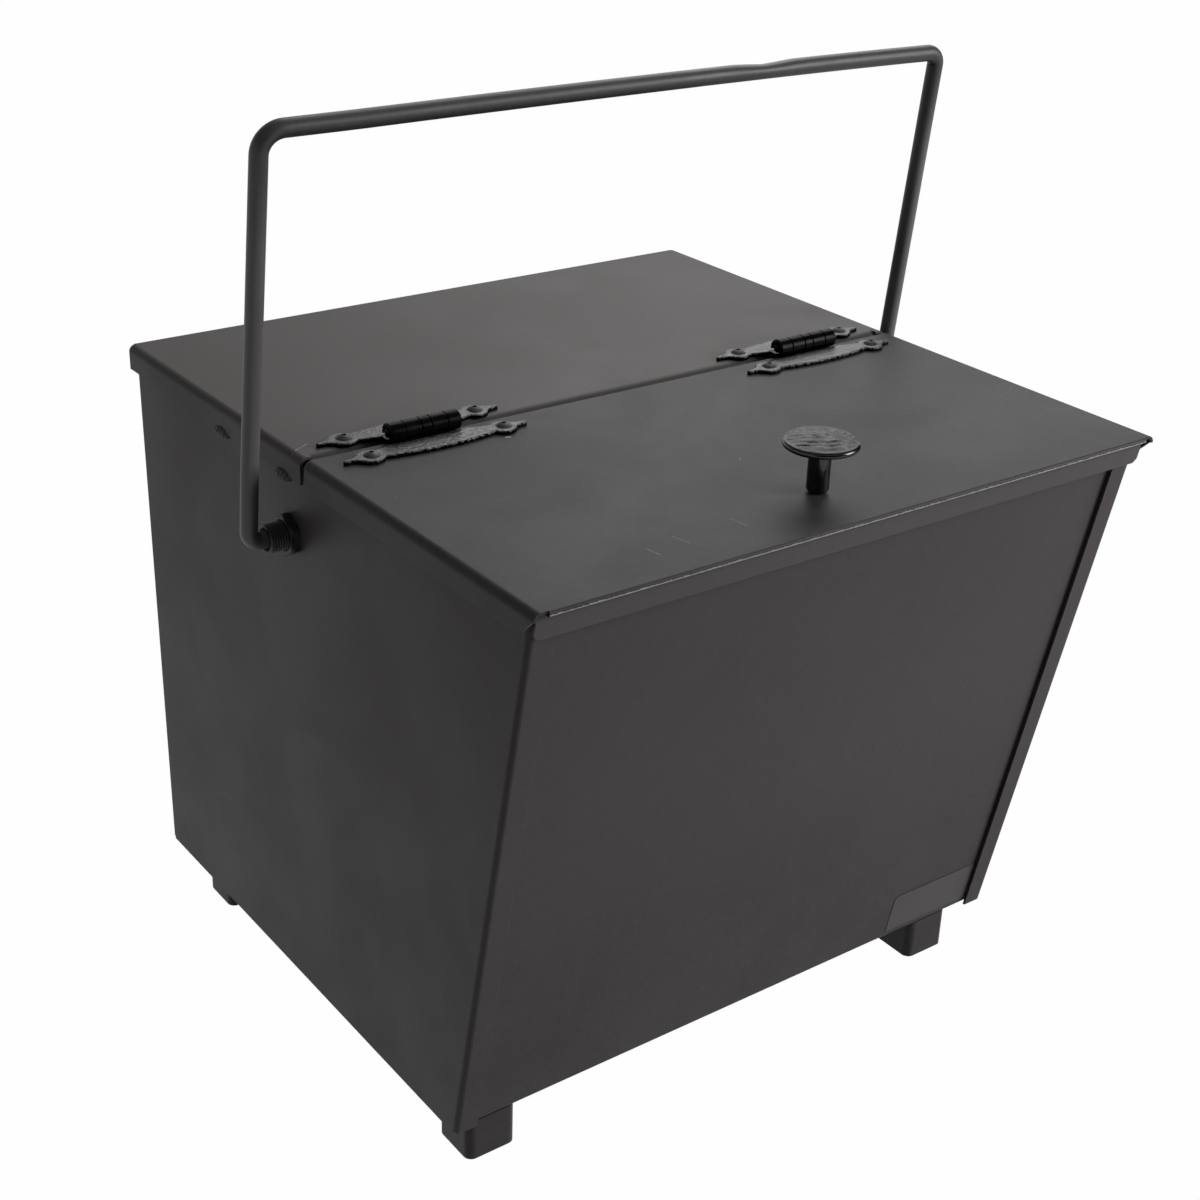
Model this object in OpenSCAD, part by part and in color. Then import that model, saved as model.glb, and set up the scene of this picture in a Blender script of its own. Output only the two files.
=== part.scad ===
// Ash bucket: a folded sheet-steel box on four feet, with a sloped front, a fixed rear cover,
// a lid on two wrought-look hinges, a knob and a bail handle that swings in two threaded bushes.
// Millimetres, +Z up. The origin is on the ground, in the middle of the width and of the depth.
// The front faces -Y.

/* [Body] */
// Width over the side panels
body_w = 398; // [340:1:460]
// Height from the bottom edge of the walls to the top face of the lid
body_h = 341; // [260:1:420]
// Depth at the bottom, from the back to the foot of the sloped front
base_d = 349.5; // [280:0.5:420]
// Lean of the front from upright, in degrees
front_lean = 10.85; // [4:0.01:16]
// Thickness of the sheet
sheet_t = 1.5; // [1:0.1:2.5]
// Outer radius of the walls' folds
bend_r = 3; // [2.8:0.1:4]
// Width of the strips that the side panels fold over the front and the back
strip_w = 14; // [10:0.5:24]
// Shadow gap between those strips and the sheet behind them
strip_gap = 0.8; // [0.3:0.1:0.9]
// Width of the turned-in top edges of the walls
rim_w = 12; // [8:0.5:18]
// How far the side panels reach below the floor
floor_up = 1; // [0.2:0.1:3]
// Radius of the side panels' lower corners
corner_r = 2.5; // [2:0.5:12]

/* [Cover and lid] */
// Depth of the fixed rear cover
cover_d = 213.8; // [190:0.1:235]
// Gap between the cover and the lid
joint_gap = 4.4; // [1.5:0.1:5]
// Outer radius of the folds along the edges of the cover and the lid
edge_r = 4.2; // [3.2:0.1:5]
// Outer radius of the cover's fold beside the joint
joint_r = 5.5; // [3.2:0.1:7]
// Depth of the turned-down edges
flange_h = 14.5; // [12:0.5:20]
// Depth of the stiffening edge that the cover turns down inside the box
cover_stiff_h = 12; // [8:0.5:20]
// Gap between the cover's rear edge and the back
rear_gap = 2; // [0.5:0.1:4]
// Clearance between the side panels and the turned-down side edges
side_clear = 2.7; // [1.5:0.1:3.5]
// Clearance between the top edges of the walls and the cover and lid
seat_clear = 0.8; // [0.7:0.05:0.95]
// Clearance between the lid's lip and the front strips
lip_clear = 1.5; // [1.4:0.1:2.5]
// Height of the lid's top face above the lower edge of its lip
lip_h = 17; // [12:0.5:22]
// How far the hemmed nose stands in front of the lip
nose_l = 4.3; // [2:0.1:8]
// How much shorter the nose is than the lid at each end
nose_in = 7.7; // [6:0.1:14]
// Chamfer on the lower corners of the lip
lip_chamfer = 3; // [1:0.1:6]
// Gap between the ends of the cover's stiffening edge and the side panels
stiff_in = 1.3; // [0.5:0.1:8]

/* [Hinges] */
// Distance of the middle of each hinge from the side of the box
hinge_in = 66.5; // [60:0.5:90]
// How far the hinge axis lies in front of the middle of the gap
hinge_set = 3.3; // [2.5:0.1:5]
// Length of a leaf from tip to tip
leaf_l = 109; // [100:0.5:120]
// Thickness of a leaf
leaf_t = 2.5; // [1.5:0.1:3.5]
// Reach of a leaf from the hinge axis at its widest
leaf_reach = 21.8; // [20:0.1:26]
// Distance between the two rivets of a leaf
rivet_pitch = 80.3; // [76:0.1:84]
// Distance of the rivets from the hinge axis
rivet_set = 14.2; // [13.5:0.1:16]
// Radius of the round pads that the rivets go through
pad_r = 8; // [6:0.1:9]
// Outer diameter of the barrel
barrel_d = 11; // [9:0.1:12]
// Length of the barrel
barrel_l = 44.4; // [36:0.1:52]
// Diameter of the hinge pin
pin_d = 5; // [3:0.1:6]
// How far the middle of the barrel lies to the left of the leaves' middle
barrel_shift = 2.6; // [0:0.1:5]
// Number of knuckles in the barrel
knuckle_n = 5; // [3:2:7]
// Length of the knuckles at the ends of the barrel
knuckle_end_l = 8.8; // [6:0.1:9.5]
// Length of the cover leaf's knuckles between them
knuckle_mid_l = 6.6; // [4:0.1:7]
// Clearance between two knuckles
knuckle_gap = 0.3; // [0.2:0.05:0.6]
// Clearance around the barrel, to the other leaf and to the sheet
barrel_clear = 0.3; // [0.25:0.05:0.6]
// Radial running clearance of the pin
pin_clear = 0.05; // [0.02:0.01:0.1]

/* [Rivets] */
// Diameter of a rivet's head
rivet_head_d = 9; // [7:0.1:11]
// Height of a rivet's head
rivet_head_h = 1.9; // [1:0.1:3]
// Diameter of a rivet's shank
rivet_d = 4.8; // [3:0.1:5]
// Radial clearance of a rivet in its holes
rivet_clear = 0.1; // [0.05:0.05:0.3]

/* [Tack welds] */
// Length of the tack welds that hold the cover's side edges on the side panels
tack_l = 14; // [11:0.5:20]
// Radius of a tack weld's bead
tack_r = 3.8; // [3.6:0.1:5]
// Distance of the middle of the first tack weld from the front edge of the cover
tack_y = 20; // [12:0.5:50]
// Distance between the tack welds
tack_pitch = 71; // [40:0.5:140]

/* [Knob] */
// Diameter of the knob's head
knob_d = 39.2; // [28:0.1:50]
// Height of the knob
knob_h = 30; // [26:0.5:44]
// Diameter of the stem
stem_d = 11.6; // [9:0.1:15]
// Diameter of the stem's foot
stem_foot_d = 8; // [6.5:0.1:9]
// Thickness of the head's rim
knob_rim_t = 3.2; // [1.5:0.1:4]
// Rise of the head's crown above the rim
knob_crown = 2; // [1:0.1:4]
// Distance of the knob from the tip of the lid's nose
knob_in = 39.4; // [36:0.1:80]
// Sideways place of the knob
knob_x = -7; // [-40:0.5:40]
// Diameter of the screw under the lid
knob_screw_d = 4; // [3:0.1:5]

/* [Bail] */
// Diameter of the rod
bail_d = 9; // [7:0.1:10]
// Straight length of rod between a bush and its bend
bail_gap = 2.5; // [1:0.5:8]
// Length of the legs, from the pivot to the middle of the top bar
bail_l = 222; // [210:0.5:260]
// Bend radius at the top corners, to the middle of the rod
bail_top_r = 10; // [8:0.5:30]
// Bend radius at the bushes, to the middle of the rod
bail_foot_r = 7; // [5.5:0.5:7.5]
// Lean of the bail towards the front as it stands, in degrees
bail_lean = 7.3; // [0:0.1:20]
// Distance of the pivot from the back
pivot_back = 188.5; // [150:0.5:240]
// Distance of the pivot below the lid's top face
pivot_down = 50.4; // [40:0.1:100]
// Length of rod that shows past the inside end of a bush
bail_end = 4; // [2:0.5:10]

/* [Bushes] */
// Outer diameter of a bush
bush_d = 16; // [14:0.1:20]
// Radial clearance of the rod in a bush
bush_clear = 0.5; // [0.3:0.05:0.9]
// How far a bush stands out of the side panel
bush_out = 15; // [10:0.5:16]
// Size across the flats of the nuts
nut_af = 24; // [22:0.5:30]
// Thickness of the nuts
nut_h = 6; // [4:0.5:8]

/* [Feet] */
// Side of a square foot
foot_w = 31; // [20:1:40]
// Height of the walls above the ground
foot_h = 25; // [15:1:50]
// Wall of a foot
foot_t = 2; // [1.5:0.1:4]
// Radius of a foot's upright edges
foot_r = 5; // [3:0.5:8]
// Inset of the left feet from the left side's inner face
foot_in_left = 8.5; // [0.5:0.5:60]
// Inset of the right feet from the right side's inner face
foot_in_right = 26.5; // [0.5:0.5:60]
// Inset of the front feet from the front strips' inner face
foot_in_front = 1; // [0.5:0.5:60]
// Inset of the rear feet from the rear strips' inner face
foot_in_rear = 29.5; // [4:0.5:80]

/* [Hidden] */
$fn = 64;

paint = [0.29, 0.28, 0.27];
iron = [0.2, 0.19, 0.19];
gloss = [0.08, 0.08, 0.08];

// Levels
base_z = foot_h;
top_z = foot_h + body_h;
wall_top = top_z - sheet_t - seat_clear;
fold_leg = bend_r + 2;
rear_leg = bend_r + 0.5;
panel_top = wall_top - fold_leg;
flange_z = top_z - flange_h;
lip_z = top_z - lip_h;

// Places along the depth. The back face is set so that the whole is centred on the origin.
lip_off = (lip_clear + sheet_t) / cos(front_lean);
top_d = rear_gap + sheet_t + base_d + body_h * tan(front_lean) + lip_off + nose_l;
cover_back_y = top_d / 2;
back_y = cover_back_y - sheet_t - rear_gap;
front_y0 = back_y - base_d;
nose_y = -top_d / 2;
cover_front_y = cover_back_y - cover_d;
lid_rear_y = cover_front_y - joint_gap;
axis_y = cover_front_y - joint_gap / 2 - hinge_set;
axis_z = top_z + barrel_d / 2 + barrel_clear;

// Widths
side_x = body_w / 2;
lid_w = body_w + 2 * (side_clear + sheet_t);
wall_fit = 0.2;
wrap_w = body_w - 2 * (sheet_t + wall_fit);
lip_w = lid_w - 2 * (sheet_t + side_clear);
nose_w = lid_w - 2 * nose_in;
stiff_w = body_w - 2 * (sheet_t + stiff_in);

// Folds
strip_back = sheet_t + strip_gap;
rim_start = 20;
rim_break = 8;

// Places of the feet
foot_x_left = -side_x + sheet_t + foot_in_left;
foot_x_right = side_x - sheet_t - foot_in_right - foot_w;
foot_y_front = front_y0 + sheet_t / cos(front_lean) + foot_in_front;
foot_y_rear = back_y - sheet_t - foot_in_rear - foot_w;

// Pivot and legs of the bail
bail_x = side_x + bush_out + bail_gap + bail_foot_r;
pivot_y = back_y - pivot_back;
pivot_z = top_z - pivot_down;
bush_r = bush_d / 2;
bush_in = sheet_t + nut_h + 2;
thread_fit = 0.05;
panel_fit = 0.2;
mouth_l = 2.5;
mouth_r = (bail_d / 2 + bush_clear + bush_r) / 2;
rod_end = side_x - bush_in - bail_end;

// Hinges
hinge_x = side_x - hinge_in;
leaf_root = barrel_d / 2 + barrel_clear + 0.1;
waist_x = rivet_pitch / 2 - 6.15;
waist_out = rivet_set + 4.1;
waist_in = rivet_set - 5.4;
tip_r = 1.3;
tip_x = leaf_l / 2 - tip_r;
barrel_reach = barrel_l / 2 + barrel_shift;
pin_r = pin_d / 2;
pin_in = 0.4;

// Rivets
rivet_tail_d = rivet_d + 1.8;
rivet_tail_h = 3.5;
mandrel_d = 2.6;
mandrel_h = 1.2;

// Knob
knob_y = nose_y + knob_in;
washer_d = 12;
washer_t = 1;
screw_head_d = 8;
screw_head_h = 2.8;
screw_grip = 9;
screw_fit = 0.1;

// Length of a knuckle. The odd ones, which the lid leaf carries, share what the others leave.
function knuckle_l(i) =
    i == 0 || i == knuckle_n - 1 ? knuckle_end_l
    : i % 2 == 0 ? knuckle_mid_l
    : (barrel_l - 2 * knuckle_end_l - (knuckle_n - 3) / 2 * knuckle_mid_l) * 2 / (knuckle_n - 1);

// Left end of a knuckle, from the leaves' middle
function knuckle_from(i) = i == 0 ? -barrel_reach : knuckle_from(i - 1) + knuckle_l(i - 1);

// Outer face of the sloped front at a height
function front_y(z) = front_y0 - (z - base_z) * tan(front_lean);

// A point on a line parallel to the sloped front, d behind it, at a height
function front_in(z, d) = [front_y(z) + d / cos(front_lean), z];

function unit(v) = v / norm(v);
function left_of(v) = [-v[1], v[0]];
// Turn to the left from one direction to the next, in degrees
function turn(a, b) = atan2(a[0] * b[1] - a[1] * b[0], a * b);

// Cross-section of a folded sheet. The points are the sharp outer corners, every fold turns left,
// and the sheet's thickness lies on the left of the line through them.
module folded_section(points, thick, radius) {
    last = len(points) - 1;
    dirs = [for (i = [0:last - 1]) unit(points[i + 1] - points[i])];
    inner = [for (i = [last:-1:0]) points[i] + thick * inward(dirs, i)];
    difference() {
        union() {
            polygon(concat(points, inner));
            for (i = [1:last - 1])
                at_fold(points[i], dirs[i - 1], dirs[i], radius)
                    difference() {
                        fold_wedge(dirs[i - 1], dirs[i], radius, radius);
                        circle(radius - thick);
                    }
        }
        for (i = [1:last - 1])
            at_fold(points[i], dirs[i - 1], dirs[i], radius)
                difference() {
                    fold_wedge(dirs[i - 1], dirs[i], radius, radius + 1);
                    circle(radius);
                }
    }
}

// Offset to the inner face of a unit sheet at a point of the section, mitred at a fold
function inward(dirs, i) =
    i == 0 ? left_of(dirs[0])
    : i == len(dirs) ? left_of(dirs[i - 1])
    : (left_of(dirs[i - 1]) + left_of(dirs[i])) / (1 + dirs[i - 1] * dirs[i]);

// Puts its children on the middle of a fold's radius
module at_fold(corner, before, after, radius) {
    cut = radius * tan(turn(before, after) / 2);
    translate(corner - before * cut + left_of(before) * radius)
        children();
}

// The four-cornered piece between the middle of a fold, its two tangents and its sharp corner.
// The reach is measured along the radii to the tangents.
module fold_wedge(before, after, radius, reach) {
    out_a = -left_of(before);
    out_b = -left_of(after);
    tip = (out_a + out_b) / (1 + out_a * out_b);
    polygon([[0, 0], out_a * reach, tip * reach, out_b * reach]);
}

// Cross-section of one square fold, with its sharp outer corner at the origin
module fold_section(leg_x, leg_y) {
    folded_section([[0, leg_y], [0, 0], [leg_x, 0]], sheet_t, bend_r);
}

// Turns a flat outline drawn in depth and height into a sheet or block that runs along X
module along_x(length) {
    translate([-length / 2, 0, 0])
        rotate([90, 0, 90])
            linear_extrude(length)
                children();
}

// Turns an outline drawn in width and height into one that runs from the first depth to the second
module along_y(from, to) {
    translate([0, to, 0])
        rotate([90, 0, 0])
            linear_extrude(to - from)
                children();
}

module body_wrap() {
    line = [
        front_in(wall_top, strip_back) + [rim_w, 0],
        front_in(wall_top, strip_back),
        front_in(base_z + floor_up, strip_back),
        [back_y - strip_back, base_z + floor_up],
        [back_y - strip_back, wall_top],
        [back_y - strip_back - rim_w, wall_top]
    ];
    color(paint)
        along_x(wrap_w)
            folded_section(line, sheet_t, bend_r);
}

// The left side panel. The right one is its mirror image.
module side_panel() {
    outline = [
        front_in(base_z, fold_leg),
        [back_y - fold_leg, base_z],
        [back_y - fold_leg, panel_top],
        front_in(panel_top, fold_leg)
    ];
    slant = (panel_top - base_z) / cos(front_lean);
    lap = 1;
    difference() {
        union() {
            translate([-side_x + sheet_t / 2, 0, 0])
                along_x(sheet_t)
                    polygon(outline);
            intersection() {
                translate([-side_x, front_y0, base_z])
                    rotate([front_lean, 0, 0])
                        translate([0, 0, -fold_leg])
                            linear_extrude(slant + 2 * fold_leg)
                                fold_section(strip_w, fold_leg + lap);
                translate([-side_x - 1, nose_y, base_z])
                    cube([strip_w + 2, top_d, panel_top - base_z]);
            }
            translate([-side_x, back_y, base_z])
                mirror([0, 1, 0])
                    linear_extrude(panel_top - base_z)
                        fold_section(rear_leg, fold_leg);
            top_fold(front_y(wall_top) + rim_start, cover_front_y - rim_break);
            top_fold(cover_front_y + rim_break, back_y - rim_start);
        }
        translate([-side_x - 1, pivot_y, pivot_z])
            rotate([0, 90, 0])
                cylinder(r = bush_r + panel_fit, h = sheet_t + 2);
        strip_corner(front_y0, [front_lean, 0, 0]);
        strip_corner(back_y, [0, 0, 0]);
    }
}

// The flat of the left strip over the back. It is a node of its own, beside the panel's fold,
// so that no collision piece spans the corner of the ash room.
module rear_strip() {
    difference() {
        translate([-side_x + rear_leg, back_y - sheet_t, base_z])
            cube([strip_w - rear_leg, sheet_t, panel_top - base_z]);
        strip_corner(back_y, [0, 0, 0]);
    }
}

// Rounds the lower outer corner of a folded strip, seen from the front
module strip_corner(place, tilt) {
    reach = bend_r + 0.5;
    translate([-side_x, place, base_z])
        rotate(tilt)
            translate([0, reach, 0])
                rotate([90, 0, 0])
                    linear_extrude(2 * reach)
                        difference() {
                            translate([-1, -1])
                                square(corner_r + 1);
                            translate([corner_r, corner_r])
                                circle(corner_r);
                        }
}

// A turned-in stretch of a side panel's top edge
module top_fold(from, to) {
    translate([-side_x, 0, wall_top])
        along_y(from, to)
            mirror([0, 1])
                fold_section(rim_w, fold_leg);
}

module side_panel_left() {
    color(paint)
        side_panel();
}

module side_panel_right() {
    color(paint)
        mirror([1, 0, 0])
            side_panel();
}

module rear_strip_left() {
    color(paint)
        rear_strip();
}

module rear_strip_right() {
    color(paint)
        mirror([1, 0, 0])
            rear_strip();
}

// Turned-down side edges with the top sheet between them, as one cross-section in width and height
module cap_section() {
    half = lid_w / 2;
    folded_section([[half, flange_z], [half, top_z], [-half, top_z], [-half, flange_z]], sheet_t, edge_r);
}

module rear_cover() {
    overlap = 2;
    sheet_y = cover_front_y + joint_r;
    stiff = [[sheet_y + overlap, top_z], [cover_front_y, top_z], [cover_front_y, top_z - cover_stiff_h]];
    rear = [[cover_back_y, flange_z], [cover_back_y, top_z], [cover_back_y - edge_r - overlap, top_z]];
    color(paint)
        difference() {
            union() {
                along_y(sheet_y, cover_back_y - edge_r)
                    cap_section();
                along_y(cover_front_y, sheet_y + overlap)
                    difference() {
                        cap_section();
                        translate([-stiff_w / 2, flange_z - 1])
                            square([stiff_w, flange_h + 2]);
                    }
                along_x(lid_w - 2 * edge_r)
                    folded_section(rear, sheet_t, edge_r);
                along_x(stiff_w)
                    folded_section(stiff, sheet_t, joint_r);
            }
            leaf_rivet_places(1)
                cylinder(r = rivet_d / 2 + rivet_clear, h = 4 * sheet_t, center = true);
        }
}

module rivet(grip) {
    head_r = rivet_head_d / 2;
    ball_r = (head_r * head_r + rivet_head_h * rivet_head_h) / (2 * rivet_head_h);
    difference() {
        union() {
            rotate_extrude()
                intersection() {
                    translate([0, rivet_head_h - ball_r])
                        circle(ball_r, $fn = 96);
                    square([head_r, rivet_head_h]);
                }
            translate([0, 0, -grip])
                cylinder(d = rivet_d, h = grip);
            translate([0, 0, -grip - rivet_tail_h])
                cylinder(d1 = rivet_d, d2 = rivet_tail_d, h = rivet_tail_h);
        }
        translate([0, 0, rivet_head_h - mandrel_h])
            cylinder(d = mandrel_d, h = mandrel_h + 1);
    }
}

// A round-ended bead along the lower edge of the cover's side, flat against the left side panel
module tack_weld() {
    flange_x = lid_w / 2;
    straight = tack_l / 2 - tack_r;
    tack_drop = 0.7;
    difference() {
        translate([-flange_x + sheet_t, 0, flange_z - tack_drop])
            rotate([90, 0, 0])
                rotate_extrude()
                    intersection() {
                        translate([0, -tack_l])
                            square([tack_r, 2 * tack_l]);
                        union() {
                            square([2 * tack_r, 2 * straight], center = true);
                            for (end = [-1, 1])
                                translate([0, end * straight])
                                    circle(tack_r);
                        }
                    }
        translate([-side_x, -tack_l, flange_z - 2 * tack_r])
            cube([tack_r, 2 * tack_l, 4 * tack_r]);
        translate([-flange_x, -tack_l, flange_z])
            cube([flange_x - side_x + 1, 2 * tack_l, 2 * tack_r]);
    }
}

module cover_tack_welds() {
    color(paint)
        for (side = [0, 1], i = [0, 1])
            mirror([side, 0, 0])
                translate([0, cover_front_y + tack_y + i * tack_pitch, 0])
                    tack_weld();
}

module lid() {
    color(paint)
        difference() {
            union() {
                along_y(nose_y + sheet_t, lid_rear_y)
                    cap_section();
                along_x(nose_w)
                    nose_section();
                lip();
            }
            flange_end_cut();
            leaf_rivet_places(-1)
                cylinder(r = rivet_d / 2 + rivet_clear, h = 4 * sheet_t, center = true);
            translate([knob_x, knob_y, top_z - 2 * sheet_t])
                cylinder(d = knob_screw_d + 1, h = 3 * sheet_t);
        }
}

// The hem: the top sheet folds back under itself
module nose_section() {
    translate([nose_y + sheet_t, top_z - sheet_t])
        circle(sheet_t);
    translate([nose_y + sheet_t, top_z - 2 * sheet_t])
        square([nose_l + lip_off - lip_clear, 2 * sheet_t]);
}

// The lip that hangs in front of the strips, parallel to the sloped front
module lip() {
    z_high = top_z - sheet_t;
    half = lip_w / 2;
    slant = (z_high - lip_z) / cos(front_lean);
    intersection() {
        translate([0, front_y(z_high), z_high])
            rotate([front_lean, 0, 0])
                translate([0, -lip_clear, 0])
                    rotate([90, 0, 0])
                        linear_extrude(sheet_t)
                            polygon([[-half, 0], [-half, -slant + lip_chamfer], [-half + lip_chamfer, -slant],
                                [half - lip_chamfer, -slant], [half, -slant + lip_chamfer], [half, 0]]);
        translate([-half, nose_y, lip_z])
            cube([lip_w, top_d / 2, z_high - lip_z]);
    }
}

// Cuts the front ends of the lid's side edges at 45 degrees and squares the corners off beside the nose
module flange_end_cut() {
    low = flange_z - 1;
    high = top_z - edge_r;
    rise = high - low;
    for (side = [-1, 1])
        translate([side * (lid_w / 2 - sheet_t / 2 - side_clear / 4), 0, 0])
            along_x(sheet_t + side_clear / 2 + 0.02)
                polygon([[nose_y - 1, high], [nose_y + sheet_t + 1, high], [nose_y + sheet_t + 1 + rise, low],
                    [nose_y - 1, low]]);
}

// Puts its children at the rivets of the leaves on the cover (1) or on the lid (-1), at the top face
module leaf_rivet_places(way) {
    for (side = [-1, 1])
        for (end = [-1, 1])
            translate([side * hinge_x + end * rivet_pitch / 2, axis_y + way * rivet_set, top_z])
                children();
}

// Half of a leaf's outline, for the end on +X. The hinge axis lies along the X axis.
module leaf_half() {
    sag = leaf_reach - waist_out;
    arc_r = (waist_x * waist_x + sag * sag) / (2 * sag);
    spike_x = rivet_pitch / 2 + pad_r * 0.6;
    spike_h = pad_r * 0.72 - tip_r;
    spike = [for (i = [0:6]) [spike_x + (tip_x - spike_x) * i / 6, tip_r + spike_h * pow(1 - i / 6, 2.2)]];
    intersection() {
        translate([0, leaf_reach - arc_r])
            circle(arc_r, $fn = 360);
        polygon([[0, leaf_root], [barrel_reach + 0.5, leaf_root], [waist_x + 1.5, waist_in],
            [waist_x + 1.5, leaf_reach + 1], [0, leaf_reach + 1]]);
    }
    translate([rivet_pitch / 2, rivet_set])
        circle(pad_r);
    translate([tip_x, rivet_set])
        circle(tip_r);
    translate([0, rivet_set])
        polygon(concat([for (p = spike) [p[0], -p[1]]], [for (i = [6:-1:0]) spike[i]]));
}

// One leaf with its knuckles. The first knuckle it carries is given, and it carries every other one.
module hinge_leaf(first) {
    difference() {
        union() {
            linear_extrude(leaf_t)
                for (end = [0, 1])
                    mirror([end, 0])
                        leaf_half();
            for (i = [first:2:knuckle_n - 1])
                knuckle(i);
        }
        translate([-barrel_reach - 1, 0, axis_z - top_z])
            rotate([0, 90, 0])
                cylinder(r = pin_r + pin_clear, h = barrel_l + 2);
        for (end = [-1, 1])
            translate([end * rivet_pitch / 2, rivet_set, -1])
                cylinder(r = rivet_d / 2 + rivet_clear, h = leaf_t + 2);
    }
}

module knuckle(i) {
    from = knuckle_from(i) + (i == 0 ? 0 : knuckle_gap / 2);
    to = knuckle_from(i + 1) - (i == knuckle_n - 1 ? 0 : knuckle_gap / 2);
    translate([from, 0, axis_z - top_z])
        rotate([0, 90, 0])
            cylinder(d = barrel_d, h = to - from);
    translate([from, 0, barrel_clear])
        cube([to - from, leaf_root + 1, leaf_t - barrel_clear]);
}

module place_hinge(side) {
    translate([side * hinge_x, axis_y, top_z])
        children();
}

module hinge_cover_leaf_left() {
    color(iron)
        place_hinge(-1)
            hinge_leaf(0);
}

module hinge_cover_leaf_right() {
    color(iron)
        place_hinge(1)
            hinge_leaf(0);
}

module hinge_lid_leaf_left() {
    color(iron)
        place_hinge(-1)
            mirror([0, 1, 0])
                hinge_leaf(1);
}

module hinge_lid_leaf_right() {
    color(iron)
        place_hinge(1)
            mirror([0, 1, 0])
                hinge_leaf(1);
}

module hinge_pin(side) {
    translate([side * hinge_x - barrel_reach + pin_in, axis_y, axis_z])
        rotate([0, 90, 0])
            cylinder(r = pin_r, h = barrel_l - 2 * pin_in);
}

module hinge_pin_left() {
    color(gloss)
        hinge_pin(-1);
}

module hinge_pin_right() {
    color(gloss)
        hinge_pin(1);
}

module cover_hinge_rivets() {
    color(iron)
        leaf_rivet_places(1)
            translate([0, 0, leaf_t])
                rivet(leaf_t + sheet_t);
}

module lid_hinge_rivets() {
    color(iron)
        leaf_rivet_places(-1)
            translate([0, 0, leaf_t])
                rivet(leaf_t + sheet_t);
}

// Stem and head of the knob in one turned outline, with a blind hole for the screw
module knob() {
    rim_z = knob_h - knob_crown;
    under_z = rim_z - knob_rim_t;
    head_r = knob_d / 2;
    stem_r = stem_d / 2;
    ball_r = (head_r * head_r + knob_crown * knob_crown) / (2 * knob_crown);
    neck_r = 4;
    foot_rise = 2.4;
    color(gloss)
        translate([knob_x, knob_y, top_z])
            difference() {
                rotate_extrude() {
                    intersection() {
                        translate([0, knob_h - ball_r])
                            circle(ball_r, $fn = 180);
                        translate([0, rim_z])
                            square([head_r, knob_crown]);
                    }
                    translate([0, under_z])
                        square([head_r - knob_rim_t / 2, knob_rim_t]);
                    translate([head_r - knob_rim_t / 2, under_z + knob_rim_t / 2])
                        circle(knob_rim_t / 2, $fn = 32);
                    polygon([[0, 0], [stem_foot_d / 2, 0], [stem_r - 0.5, foot_rise / 2], [stem_r, foot_rise],
                        [stem_r, under_z - neck_r], [stem_r + 1.2, under_z - 1.6], [head_r - knob_rim_t / 2, under_z],
                        [0, under_z]]);
                }
                translate([0, 0, -1])
                    cylinder(r = knob_screw_d / 2 + screw_fit, h = screw_grip + 2);
            }
}

module knob_washer() {
    color(iron)
        translate([knob_x, knob_y, top_z - sheet_t - washer_t])
            difference() {
                cylinder(d = washer_d, h = washer_t);
                translate([0, 0, -1])
                    cylinder(r = knob_screw_d / 2 + screw_fit, h = washer_t + 2);
            }
}

module knob_screw() {
    color(iron)
        translate([knob_x, knob_y, top_z - sheet_t - washer_t])
            difference() {
                union() {
                    translate([0, 0, -screw_head_h])
                        cylinder(d1 = screw_head_d - 1.6, d2 = screw_head_d, h = screw_head_h);
                    cylinder(d = knob_screw_d, h = sheet_t + washer_t + screw_grip);
                }
                for (quarter = [0, 90])
                    rotate(quarter)
                        translate([-2.5, -0.5, -screw_head_h - 1])
                            cube([5, 1, 2.6]);
            }
}

// Quarter of a ring in the XZ plane, around the origin, from the given angle on
module rod_bend(radius, from) {
    rotate([90, 0, 0])
        rotate(from)
            rotate_extrude(angle = 90)
                translate([radius, 0])
                    circle(d = bail_d);
}

module bail() {
    color(paint)
        translate([0, pivot_y, pivot_z])
            rotate([bail_lean, 0, 0]) {
                translate([-bail_x + bail_top_r, 0, bail_l])
                    rotate([0, 90, 0])
                        cylinder(d = bail_d, h = 2 * (bail_x - bail_top_r));
                for (side = [0, 1])
                    mirror([side, 0, 0]) {
                        translate([-bail_x + bail_top_r, 0, bail_l - bail_top_r])
                            rod_bend(bail_top_r, 90);
                        translate([-bail_x, 0, bail_foot_r])
                            cylinder(d = bail_d, h = bail_l - bail_foot_r - bail_top_r);
                        translate([-bail_x + bail_foot_r, 0, bail_foot_r])
                            rod_bend(bail_foot_r, 180);
                        translate([-bail_x + bail_foot_r, 0, 0])
                            rotate([0, 90, 0])
                                cylinder(d = bail_d, h = bail_x - bail_foot_r - rod_end);
                    }
            }
}

// Puts its children on the pivot's axis at the outer face of the left side panel, with +Z outwards
module at_pivot(side) {
    mirror([side > 0 ? 1 : 0, 0, 0])
        translate([-side_x, pivot_y, pivot_z])
            rotate([0, -90, 0])
                children();
}

// Hollow threaded bush with a countersunk mouth
module bush() {
    bore_r = bail_d / 2 + bush_clear;
    difference() {
        translate([0, 0, -bush_in])
            cylinder(r = bush_r, h = bush_in + bush_out);
        translate([0, 0, -bush_in - 1])
            cylinder(r = bore_r, h = bush_in + bush_out + 2);
        translate([0, 0, bush_out - mouth_l])
            cylinder(r1 = bore_r, r2 = mouth_r, h = mouth_l);
    }
}

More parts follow.
